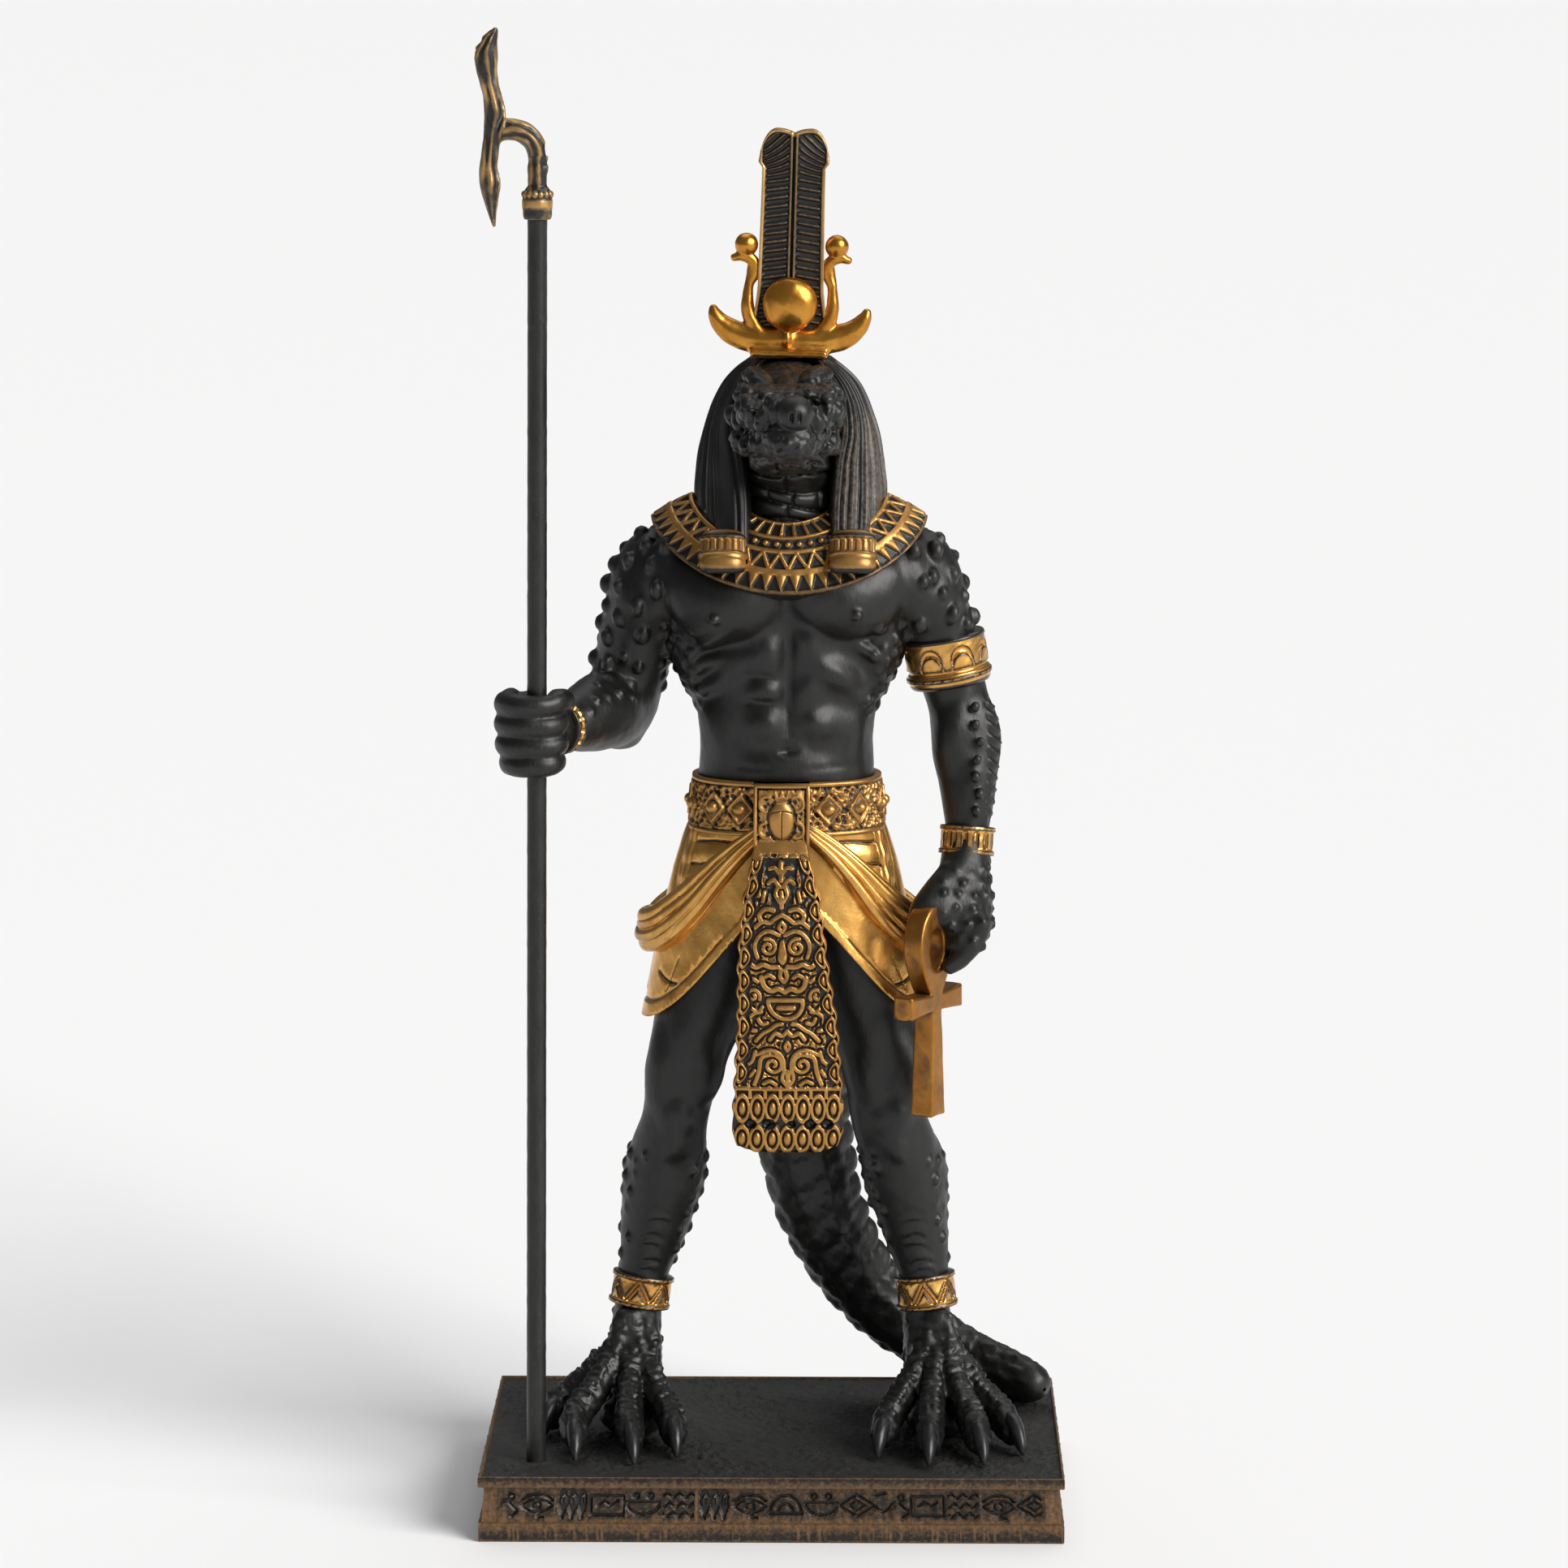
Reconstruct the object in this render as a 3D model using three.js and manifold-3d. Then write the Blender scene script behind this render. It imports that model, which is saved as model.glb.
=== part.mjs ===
// Standing crocodile-headed figure with staff and ankh, on its own plinth.
// Millimetres, +Z up. The figure faces -Y and +X is to the viewer's right.
// Origin: centre of the plinth's underside.

import * as THREE from "three";
import { mergeVertices } from "three/addons/utils/BufferGeometryUtils.js";
import Module from "manifold-3d";

const wasm = await Module();
wasm.setup();

// Driving sizes: plinth
const plinthWidth = 115;
const plinthDepth = 74;
const plinthHeight = 13.2;
const topSlabThickness = 2.2;
const baseBandHeight = 3.8;
const panelRecess = 1.2;
const panelBatter = 0.6;

// Driving sizes: figure, up to the flat on its head where the crown stands.
// Its carving is laid out in shares of its own height.
const figureHeight = 216.2;
const figureOffsetX = 2.5;

// Driving sizes: staff
const staffDiameter = 3.9;
const staffLength = 256;
const staffFootX = -46.8;
const staffFootY = -23.6;
const staffSocketDepth = 9;
const staffLeanDegrees = 0.47;
const staffCollarDiameter = 6.4;
const staffCollarHeight = 5.2;
const staffHeadRise = 36.5;
const staffHeadWidth = 12.6;
const staffHeadThickness = 4.4;

// Driving sizes: ankh
const ankhHeight = 41.5;
const ankhSpan = 18.8;
const ankhThickness = 5.2;
const ankhArmWidth = 3.7;
const ankhLoopWidth = 12;
const ankhTurnDegrees = 57;

// Driving sizes: crown
const crownPlateWidth = 15;
const crownPlateDepth = 9;
const crownPlateThickness = 1.3;
const hornSpan = 32.4;
const hornThickness = 4.6;
const plumeHeight = 41;
const plumeWidth = 13.6;
const plumeThickness = 3.6;
const sunRadius = 5.6;
const ballRadius = 2.3;
const crownTiltDegrees = 1.6;

// Fits: glued joints between separately cast pieces
const glueGap = 0.3;

const radiansPerDegree = Math.PI / 180;

// One carving unit: the figure is 216.2 of them high
const unit = figureHeight / 216.2;

// Where the ankh's crossbar meets its stem, in carving units
const ankhHand = [28.2, -13, 90.4];

// Solid and geometry helpers

function solidOf(geometry) {
  const plain = geometry.clone();
  plain.deleteAttribute("normal");
  plain.deleteAttribute("uv");
  const merged = mergeVertices(plain, 1e-5);
  const mesh = new wasm.Mesh({
    numProp: 3,
    vertProperties: new Float32Array(merged.attributes.position.array),
    triVerts: new Uint32Array(merged.index.array),
  });
  return new wasm.Manifold(mesh);
}

function geometryOf(solid) {
  const mesh = solid.getMesh();
  const geometry = new THREE.BufferGeometry();
  geometry.setAttribute("position", new THREE.BufferAttribute(mesh.vertProperties, 3));
  geometry.setIndex(new THREE.BufferAttribute(mesh.triVerts, 1));
  return geometry;
}

function join(solids) {
  return solids.reduce((whole, piece) => whole.add(piece));
}

// A place on the figure, from carving units
function at(x, y, z) {
  return new THREE.Vector3(figureOffsetX + x * unit, y * unit, plinthHeight + z * unit);
}

// Rounds a unit circle towards a square: power 2 is round, higher is squarer
function squared(x, z, power) {
  const size = (Math.abs(x) ** power + Math.abs(z) ** power) ** (1 / power);
  return size > 0 ? 1 / size : 0;
}

// A closed body swept through stations { centre, across, deep }. Its sections stand across
// the path, with the deep side towards front.
function sweep(stations, options = {}) {
  const { sides = 8, steps = stations.length - 1, power = 2, ripple = 0, lobes = 0 } = options;
  const front = options.front ?? new THREE.Vector3(0, -1, 0);
  const path = new THREE.CatmullRomCurve3(stations.map((s) => s.centre));
  const sizes = stations.map((s) => new THREE.Vector3(s.across, s.deep, 0));
  const girth = new THREE.CatmullRomCurve3(sizes);
  const geometry = new THREE.CylinderGeometry(1, 1, 1, sides, steps);
  const position = geometry.attributes.position;
  const point = new THREE.Vector3();
  for (let i = 0; i < position.count; i++) {
    point.fromBufferAttribute(position, i);
    const t = Math.min(Math.max(point.y + 0.5, 0), 1);
    const tangent = path.getTangent(t);
    const side = tangent.clone().cross(front).normalize();
    const deepWay = side.clone().cross(tangent);
    const size = girth.getPoint(t);
    const row = Math.round(t * steps);
    const rib = Math.round((Math.atan2(point.z, point.x) / Math.PI) * (sides / 2));
    const swell = (row % 2 === 0 ? 1 + ripple : 1) * (rib % 2 === 0 ? 1 + lobes : 1);
    const round = squared(point.x, point.z, power) * Math.hypot(point.x, point.z) * swell;
    const place = path.getPoint(t);
    place.addScaledVector(side, point.x * round * Math.max(size.x, 0.05));
    place.addScaledVector(deepWay, point.z * round * Math.max(size.y, 0.05));
    position.setXYZ(i, place.x, place.y, place.z);
  }
  return solidOf(geometry);
}

// A limb of the figure: rows of [x, y, z, across, deep] in carving units
function limb(rows, options = {}) {
  const stations = rows.map(([x, y, z, across, deep]) => ({
    centre: at(x, y, z),
    across: across * unit,
    deep: deep * unit,
  }));
  return sweep(stations, options);
}

// A muscle of the figure: an ellipsoid, in carving units, turned by degrees
function muscle([x, y, z], [a, b, c], turn = [0, 0, 0], segments = [6, 4]) {
  const geometry = new THREE.SphereGeometry(1, ...segments);
  geometry.rotateX(Math.PI / 2);
  geometry.scale(a * unit, b * unit, c * unit);
  geometry.rotateX(turn[0] * radiansPerDegree);
  geometry.rotateY(turn[1] * radiansPerDegree);
  geometry.rotateZ(turn[2] * radiansPerDegree);
  const centre = at(x, y, z);
  geometry.translate(centre.x, centre.y, centre.z);
  return solidOf(geometry);
}

// A closed body of stacked rings: place(angle, level) gives each point of ring level 0..1.
// Angle 0 faces +X and a quarter turn faces the front.
function rings(place, sides, levels, ends) {
  const geometry = new THREE.CylinderGeometry(1, 1, 1, sides, levels);
  const position = geometry.attributes.position;
  const point = new THREE.Vector3();
  for (let i = 0; i < position.count; i++) {
    point.fromBufferAttribute(position, i);
    const level = Math.min(Math.max(point.y + 0.5, 0), 1);
    const isMiddle = Math.hypot(point.x, point.z) < 1e-6;
    const spot = isMiddle ? ends[Math.round(level)] : place(Math.atan2(point.z, point.x), level);
    position.setXYZ(i, spot.x, spot.y, spot.z);
  }
  return solidOf(geometry);
}

function boxBetween(low, high) {
  const size = high.clone().sub(low);
  const geometry = new THREE.BoxGeometry(size.x, size.y, size.z);
  const middle = low.clone().add(high).multiplyScalar(0.5);
  geometry.translate(middle.x, middle.y, middle.z);
  return solidOf(geometry);
}

// Plinth

function plinth() {
  const halfWidth = plinthWidth / 2;
  const halfDepth = plinthDepth / 2;
  const slabUnderside = plinthHeight - topSlabThickness;
  const profile = [
    [0, 0],
    [baseBandHeight, 0],
    [baseBandHeight, panelRecess - panelBatter],
    [slabUnderside, panelRecess],
    [slabUnderside, 0],
    [plinthHeight, 0],
  ];
  const layers = profile.length - 1;
  const geometry = new THREE.BoxGeometry(1, 1, 1, 1, 1, layers);
  const position = geometry.attributes.position;
  for (let i = 0; i < position.count; i++) {
    const [height, inset] = profile[Math.round((position.getZ(i) + 0.5) * layers)];
    const x = Math.sign(position.getX(i)) * (halfWidth - inset);
    const y = Math.sign(position.getY(i)) * (halfDepth - inset);
    position.setXYZ(i, x, y, height);
  }
  const socket = staffShape(glueGap).shaft;
  return solidOf(geometry).subtract(socket);
}

// Staff: a plain rod, and a cast head with its collar

function staffPlace(x, z) {
  const lean = staffLeanDegrees * radiansPerDegree;
  const foot = plinthHeight - staffSocketDepth;
  const along = z - foot;
  return new THREE.Vector3(
    staffFootX + x * Math.cos(lean) + along * Math.sin(lean),
    staffFootY,
    foot - x * Math.sin(lean) + along * Math.cos(lean),
  );
}

function staffShape(grow) {
  const radius = staffDiameter / 2 + grow;
  const foot = plinthHeight - staffSocketDepth;
  const top = foot + staffLength;
  const station = (z) => ({ centre: staffPlace(0, z), across: radius, deep: radius });
  const shaft = sweep([station(foot - grow), station(top)], { sides: 12, steps: 1 });
  return { shaft, top };
}

function staffHead() {
  const collarBase = staffShape(0).top - staffCollarHeight / 2;
  const collarRadius = staffCollarDiameter / 2;
  const h = staffHeadRise / 36.5;
  const w = staffHeadWidth / 12.6;
  const thick = staffHeadThickness / 2;
  const band = (low, high, radius) => {
    const station = (z) => ({ centre: staffPlace(0, z), across: radius, deep: radius });
    return sweep([station(collarBase + low), station(collarBase + high)], { sides: 10 });
  };
  const third = staffCollarHeight / 3;
  const lowerRing = band(0, third, collarRadius * 0.83);
  const middleRing = band(third * 0.98, third * 2, collarRadius * 0.95);
  const upperRing = band(third * 1.98, staffCollarHeight, collarRadius);
  const neck = band(staffCollarHeight * 0.9, staffCollarHeight + 5 * h, staffDiameter / 2);
  const rise = (z) => collarBase + z * h;
  const row = ([x, z, across, deep]) => ({
    centre: staffPlace(x * w, rise(z)),
    across: across * w,
    deep: deep * thick,
  });
  const blade = [
    [-8, -1.6, 0.4, 0.25],
    [-8.1, 2, 1.25, 0.6],
    [-8.6, 6.1, 1.8, 0.85],
    [-9.1, 8.6, 1.65, 0.9],
    [-8.1, 14, 1.8, 1],
    [-7.8, 19.2, 2.1, 1],
    [-8.9, 25.5, 1.9, 0.9],
    [-9.4, 30.5, 2.3, 0.8],
    [-8.1, 34, 1.3, 0.5],
    [-7.3, 36.5, 0.4, 0.25],
  ].map(row);
  const branch = [
    [-8, 18.4, 1.2, 0.7],
    [-5.4, 16.8, 1.6, 0.85],
    [-3, 16.5, 1.75, 0.9],
    [-0.9, 14.6, 1.95, 0.9],
    [0, 11, 1.95, 0.9],
    [0, 8, 1.9, 0.86],
  ].map(row);
  const parts = [lowerRing, middleRing, upperRing, neck];
  parts.push(sweep(blade, { sides: 6 }), sweep(branch, { sides: 6 }));
  return join(parts).subtract(staffShape(glueGap).shaft);
}

// Ankh, in its own upright plane and then turned and set in the hand

function ankhPlace(geometry) {
  geometry.rotateZ(ankhTurnDegrees * radiansPerDegree);
  const centre = at(...ankhHand);
  geometry.translate(centre.x, centre.y, centre.z);
  return solidOf(geometry);
}

function ankh(grow) {
  const half = ankhArmWidth / 2 + grow;
  const thick = ankhThickness + 2 * grow;
  const stemLength = ankhHeight * 0.55;
  const loopHeight = ankhHeight - stemLength;
  const foot = half + ankhArmWidth * 0.28;
  const outer = new THREE.Shape();
  outer.moveTo(-foot, -stemLength - grow);
  outer.lineTo(foot, -stemLength - grow);
  outer.lineTo(half, -half);
  outer.lineTo(ankhSpan / 2 + grow, -half * 1.15);
  outer.lineTo(ankhSpan / 2 + grow, half * 1.15);
  outer.lineTo(half, half);
  const wide = ankhLoopWidth / 2 + grow;
  const topOut = loopHeight + grow;
  outer.bezierCurveTo(wide * 1.15, topOut * 0.45, wide * 1.1, topOut, 0, topOut);
  outer.bezierCurveTo(-wide * 1.1, topOut, -wide * 1.15, topOut * 0.45, -half, half);
  outer.lineTo(-ankhSpan / 2 - grow, half * 1.15);
  outer.lineTo(-ankhSpan / 2 - grow, -half * 1.15);
  outer.lineTo(-half, -half);
  const inWide = Math.max(ankhLoopWidth / 2 - ankhArmWidth - grow, 0.4);
  const inTop = loopHeight - ankhArmWidth - grow;
  const inLow = ankhArmWidth * 0.7 + grow;
  const hole = new THREE.Path();
  hole.moveTo(0, inLow);
  hole.bezierCurveTo(inWide * 0.9, inTop * 0.42, inWide * 1.5, inTop, 0, inTop);
  hole.bezierCurveTo(-inWide * 1.5, inTop, -inWide * 0.9, inTop * 0.42, 0, inLow);
  outer.holes.push(hole);
  const geometry = new THREE.ExtrudeGeometry(outer, {
    depth: thick,
    bevelEnabled: false,
    curveSegments: 8,
  });
  geometry.translate(0, 0, -thick / 2);
  geometry.rotateX(Math.PI / 2);
  return ankhPlace(geometry);
}

// Crown: plate, horns, sun disc, two plumes and two cobras with balls

function crownSeat() {
  return at(0.5, -1, 0).setZ(plinthHeight + figureHeight);
}

function extruded(shape, thickness, curveSegments = 4) {
  const geometry = new THREE.ExtrudeGeometry(shape, {
    depth: thickness,
    bevelEnabled: false,
    curveSegments,
  });
  geometry.translate(0, 0, -thickness / 2);
  geometry.rotateX(Math.PI / 2);
  return geometry;
}

function hornShape() {
  const half = hornSpan / 2;
  const shape = new THREE.Shape();
  shape.moveTo(-half * 0.47, 0);
  shape.lineTo(half * 0.47, 0);
  shape.quadraticCurveTo(half * 0.88, half * 0.13, half, half * 0.42);
  shape.quadraticCurveTo(half * 1.02, half * 0.55, half * 0.93, half * 0.56);
  shape.quadraticCurveTo(half * 0.55, half * 0.3, 0, half * 0.27);
  shape.quadraticCurveTo(-half * 0.55, half * 0.3, -half * 0.93, half * 0.56);
  shape.quadraticCurveTo(-half * 1.02, half * 0.55, -half, half * 0.42);
  shape.quadraticCurveTo(-half * 0.88, half * 0.13, -half * 0.47, 0);
  return shape;
}

function plumeShape(height) {
  const half = plumeWidth / 2;
  const shape = new THREE.Shape();
  shape.moveTo(-half * 0.95, 0);
  shape.lineTo(half * 0.95, 0);
  shape.lineTo(half * 0.82, height - half * 1.05);
  shape.bezierCurveTo(half * 1.15, height - half * 0.75, half, height, half * 0.42, height);
  shape.quadraticCurveTo(half * 0.15, height, 0, height - half * 0.14);
  shape.quadraticCurveTo(-half * 0.15, height, -half * 0.42, height);
  shape.bezierCurveTo(-half, height, -half * 1.15, height - half * 0.75, -half * 0.82, height - half * 1.05);
  return shape;
}

function ballSolid(radii, place, segments = [7, 4]) {
  const geometry = new THREE.SphereGeometry(1, ...segments);
  geometry.scale(...radii);
  geometry.translate(...place);
  return solidOf(geometry);
}

function cobra(side) {
  const edge = plumeWidth / 2;
  const low = crownPlateThickness + hornSpan * 0.13;
  const rows = [
    [edge * 0.8, low - 2, 1.6, 1.6],
    [edge * 1.15, low + 2.5, 1.9, 1.5],
    [edge * 1.22, low + 7, 1.3, 1.3],
    [edge * 1.12, low + 11, 1.9, 1.2],
    [edge * 1.25, low + 13.9, 1.5, 1.4],
    [edge * 1.65, low + 13.9, 0.9, 0.9],
  ];
  const stations = rows.map(([x, z, across, deep]) => ({
    centre: new THREE.Vector3(side * x, 0, z),
    across,
    deep,
  }));
  const body = sweep(stations, { sides: 6 });
  const ballHeight = low + 13.9 + ballRadius * 0.92;
  const ball = ballSolid([ballRadius, ballRadius, ballRadius], [side * edge * 1.32, 0, ballHeight]);
  return body.add(ball);
}

function crown() {
  const plate = boxBetween(
    new THREE.Vector3(-crownPlateWidth / 2, -crownPlateDepth / 2, 0),
    new THREE.Vector3(crownPlateWidth / 2, crownPlateDepth / 2, crownPlateThickness),
  );
  const horns = solidOf(extruded(hornShape(), hornThickness));
  const plumes = extruded(plumeShape(plumeHeight), plumeThickness);
  plumes.translate(0, 0.4, crownPlateThickness + hornSpan * 0.06);
  const sunHeight = crownPlateThickness + hornSpan * 0.135 + sunRadius * 0.82;
  const sun = ballSolid(
    [sunRadius, sunRadius * 0.55, sunRadius],
    [0, -plumeThickness / 2 - sunRadius * 0.05, sunHeight],
    [9, 5],
  );
  const whole = join([plate, horns, solidOf(plumes), sun, cobra(-1), cobra(1)]);
  const geometry = geometryOf(whole);
  geometry.rotateY(crownTiltDegrees * radiansPerDegree);
  const drop = (crownPlateWidth / 2) * Math.sin(crownTiltDegrees * radiansPerDegree);
  const seat = crownSeat();
  geometry.translate(seat.x, seat.y, seat.z + drop + glueGap);
  return geometry;
}

// Figure: trunk and muscles

function trunk() {
  const column = limb([
    [0, 4, 96, 13, 9],
    [0, 4, 106, 19, 12],
    [0, 4, 117, 19.5, 12.8],
    [0, 3.2, 127, 18.2, 12],
    [0, 3, 135, 17.5, 11.2],
    [0, 3, 142, 17, 11],
    [0, 3.2, 150, 18.6, 12],
    [0, 3.6, 158, 21, 14],
    [0, 4, 166, 22.5, 15.5],
    [0, 4.5, 175, 23, 15],
    [0, 5, 183, 17.5, 12],
    [0, 5, 190, 11, 10],
  ], { sides: 10, steps: 8, power: 2.3 });
  const parts = [column];
  for (const side of [-1, 1]) {
    parts.push(muscle([side * 10.4, -7.8, 169.2], [11.6, 5.8, 7.6], [12, side * 8, side * 8], [8, 5]));
    parts.push(muscle([side * 18.5, 3, 158], [5.2, 9.5, 14], [0, side * 12, 0]));
    parts.push(muscle([side * 11.5, -7.4, 156], [6.5, 4, 6], [0, side * -35, 0]));
    parts.push(muscle([side * 15, 8, 183], [10, 8, 6.5], [0, side * 28, 0]));
    parts.push(muscle([side * 10, 13.5, 172], [9.5, 5.5, 11], [0, side * 10, 0]));
    for (const [height, rise] of [[156.5, 3.6], [149.6, 3.7], [142.4, 3.9]]) {
      parts.push(muscle([side * 3.9, -7.7, height], [4, 2.5, rise], [0, 0, 0], [5, 3]));
    }
  }
  return parts;
}

function arms() {
  const parts = [];
  for (const side of [-1, 1]) {
    const lean = side > 0 ? 1.2 : 0;
    parts.push(muscle([side * 28.3 + lean, 5, 172], [9.2, 10, 12], [0, side * -8, 0], [8, 5]));
  }
  parts.push(limb([
    [-26, 5, 176, 7.5, 8.5],
    [-30, 5.5, 165, 8, 8.6],
    [-31.6, 7, 156, 7.7, 7.8],
    [-33, 9.5, 147, 7, 7.4],
    [-33.4, 10.5, 140.5, 4.6, 4.6],
  ], { sides: 8 }));
  parts.push(limb([
    [-33, 12, 146, 4.8, 5],
    [-34, 7, 146, 7.5, 7.6],
    [-37, -1, 146, 8, 7.8],
    [-40.5, -9, 145.6, 6.6, 6.4],
    [-43.6, -15.5, 145.5, 4.6, 4.6],
    [-45.5, -19.5, 145.5, 4.6, 5.4],
  ], { sides: 8, front: new THREE.Vector3(0, 0, 1) }));
  parts.push(limb([
    [26, 5, 176, 7.5, 8.5],
    [31, 5, 164, 7.8, 8.4],
    [33.4, 5.5, 154, 6.8, 7.4],
    [34.5, 5.5, 147, 6.4, 6.8],
    [36.2, 4.2, 139, 7.3, 7],
    [36.4, 2, 131, 6.4, 6.2],
    [36.5, 0, 122, 4.6, 4.6],
    [36.4, -1.5, 116, 4.7, 5],
  ], { sides: 8 }));
  return parts;
}

// The fist round the staff: palm, four stacked fingers and a thumb
function staffFist() {
  const rodX = (staffPlace(0, plinthHeight + 145.3 * unit).x - figureOffsetX) / unit;
  const rodY = staffFootY / unit;
  const parts = [muscle([rodX - 1.2, rodY + 4.4, 145.2], [6.6, 5, 8])];
  const fingerTops = [151.2, 147.2, 143.2, 139.4];
  fingerTops.forEach((height, index) => {
    const reach = index === 3 ? 0.9 : 1;
    parts.push(limb([
      [rodX - 5.4 * reach, rodY + 4.5, height, 2.1, 2.4],
      [rodX - 6 * reach, rodY - 0.6, height, 2.1, 2.3],
      [rodX - 2.6 * reach, rodY - 4, height, 2.1, 2.2],
      [rodX + 2.2 * reach, rodY - 3.7, height + 0.2, 2.1, 2.1],
      [rodX + 4.2 * reach, rodY - 0.8, height + 0.5, 2, 2],
      [rodX + 3.4 * reach, rodY + 3, height + 0.6, 1.8, 1.8],
    ], { sides: 5, steps: 4, front: new THREE.Vector3(0, 0, 1) }));
  });
  parts.push(limb([
    [rodX + 3.2, rodY + 8, 147.5, 2.8, 3],
    [rodX + 5, rodY + 3.5, 151, 2.3, 2.5],
    [rodX + 4.6, rodY - 1, 152.3, 1.9, 2.1],
    [rodX + 3.4, rodY - 3.2, 152.4, 1.2, 1.3],
  ], { sides: 6, front: new THREE.Vector3(0, 0, 1) }));
  return parts;
}

// The hanging hand, closed round the top of the ankh's loop
function ankhFist() {
  const parts = [
    limb([
      [36.4, -1.5, 118, 4.5, 4.7],
      [36.4, -4, 112, 5.4, 6.2],
      [36.2, -6.6, 106, 5.6, 7.6],
      [34.6, -8.4, 101, 4.6, 7],
      [32.4, -9, 98.4, 2.8, 5.6],
    ], { sides: 8, steps: 5, power: 2.4 }),
    limb([
      [35.4, -5.4, 115, 3, 3],
      [31.6, -9, 112.6, 3.2, 3.2],
      [28, -11.6, 109.4, 2.8, 2.8],
      [26, -12, 106, 2, 2],
    ], { sides: 7 }),
    muscle([31.6, -10, 103.6], [4.6, 6, 6.2]),
  ];
  return parts;
}

// Legs, from the hip to the instep

function legs() {
  const left = [
    [-10, 4, 106, 11, 12],
    [-14, 2.5, 93, 10.6, 11.6],
    [-18.4, 1.5, 81, 8.8, 10.2],
    [-21, 1, 71, 7.4, 8.4],
    [-22.2, 0.8, 64, 6.9, 7.4],
    [-23.6, 3, 57, 7.8, 8],
    [-24.7, 5, 50.5, 8.6, 8.8],
    [-26.6, 5.5, 41, 7.6, 7.4],
    [-28.4, 5, 33, 5.8, 6],
    [-29.5, 4.5, 27, 5.3, 5.5],
    [-30.4, 4, 20, 5.2, 5.8],
    [-31, 2.4, 13, 5.8, 7.4],
    [-31, 2, 6, 5.4, 7.4],
    [-31, 2, -1, 5, 6.6],
  ];
  const right = [
    [10, 4, 106, 11, 12],
    [14.5, 2.5, 93, 10.6, 11.6],
    [18, 1.5, 81, 9.2, 10.2],
    [19.8, 1, 71, 8.2, 8.4],
    [20.3, 0.8, 64.5, 7.8, 7.6],
    [22.5, 3, 57, 8.3, 8.2],
    [23.8, 5, 51, 8.8, 8.8],
    [26, 5.5, 40, 7.2, 7.2],
    [27.6, 5, 31.5, 5.5, 5.8],
    [28.1, 4.5, 26, 5.3, 5.5],
    [28.8, 4, 19, 5.3, 5.8],
    [29.6, 1.8, 12, 6, 7.6],
    [29.8, 1, 6, 5.6, 7.6],
    [29.8, 1, -1, 5.2, 6.8],
  ];
  const parts = [];
  for (const rows of [left, right]) {
    const side = Math.sign(rows[0][0]);
    parts.push(limb(rows, { sides: 8, steps: 11 }));
    parts.push(muscle([side * 21.4, -5, 65.5], [4.4, 3.2, 5.4]));
    parts.push(muscle([side * 16.4, -3.6, 74.5], [4.6, 4.6, 7.5], [0, side * 16, 0]));
    parts.push(muscle([side * 26, 9, 51], [5.8, 5.4, 10], [0, side * 8, 0]));
    parts.push(muscle([side * 31, 8.5, 5], [5.5, 6.5, 6.5]));
  }
  return parts;
}

// One toe ending in its claw: knuckle and claw tip in plan, from an instep place
function toe([ix, iy], [kx, ky], [tx, ty]) {
  const between = (share) => [ix + (kx - ix) * share, iy + (ky - iy) * share];
  const beyond = (share) => [kx + (tx - kx) * share, ky + (ty - ky) * share];
  return limb([
    [ix, iy, 16, 3.4, 4],
    [...between(0.55), 10.6, 3, 3.6],
    [kx, ky, 6, 3.5, 3.8],
    [...beyond(0.32), 4.2, 2.8, 3],
    [...beyond(0.5), 4, 1.7, 1.9],
    [...beyond(0.78), 2.4, 1.3, 1.4],
    [tx, ty, 0.2, 0.3, 0.4],
  ], { sides: 5, front: new THREE.Vector3(0, 0, 1) });
}

function feet() {
  const left = [
    [-42, -14.4, -41.4, -26.4],
    [-31.2, -16, -29.7, -28.5],
    [-22.8, -14, -21.4, -23.6],
    [-45.2, -2.6, -48.6, -10],
  ];
  const right = [
    [20.6, -13.6, 18.4, -23.4],
    [28.9, -17.6, 28.5, -29],
    [37.4, -17.4, 39.4, -28.2],
    [43, -11, 47.2, -20.6],
  ];
  const parts = [];
  for (const rows of [left, right]) {
    const heel = rows === left ? -31.4 : 30.4;
    for (const [kx, ky, tx, ty] of rows) {
      const spread = heel + (kx - heel) * 0.22;
      parts.push(toe([spread, -1.5], [kx, ky], [tx, ty]));
    }
    parts.push(muscle([heel, -5, 4], [8.5, 9, 5.4]));
  }
  return parts;
}

// Tail: down behind the legs, then forward along the plinth

function tail() {
  const rows = [
    [0, 9, 112, 8, 7],
    [0.6, 16, 98, 10, 9],
    [1.6, 19, 84, 10.4, 9.6],
    [2.4, 20, 70, 10, 9.4],
    [3.6, 20.5, 55, 9.7, 9],
    [6.6, 22, 41, 9, 8.6],
    [12, 24.5, 29, 8, 7.8],
    [19.6, 27, 18.5, 7.2, 7],
    [28.6, 28.4, 10.8, 6.2, 6.2],
    [37.6, 26, 6.4, 5.2, 5.4],
    [45.6, 20.5, 4.2, 4.2, 4.4],
    [51, 15.4, 2.8, 2.7, 3],
    [54, 11.8, 1.2, 1, 1.2],
  ];
  return limb(rows, { sides: 7, steps: 20, front: new THREE.Vector3(0, 1, 0.2), ripple: 0.1 });
}

// Neck and crocodile head

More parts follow.
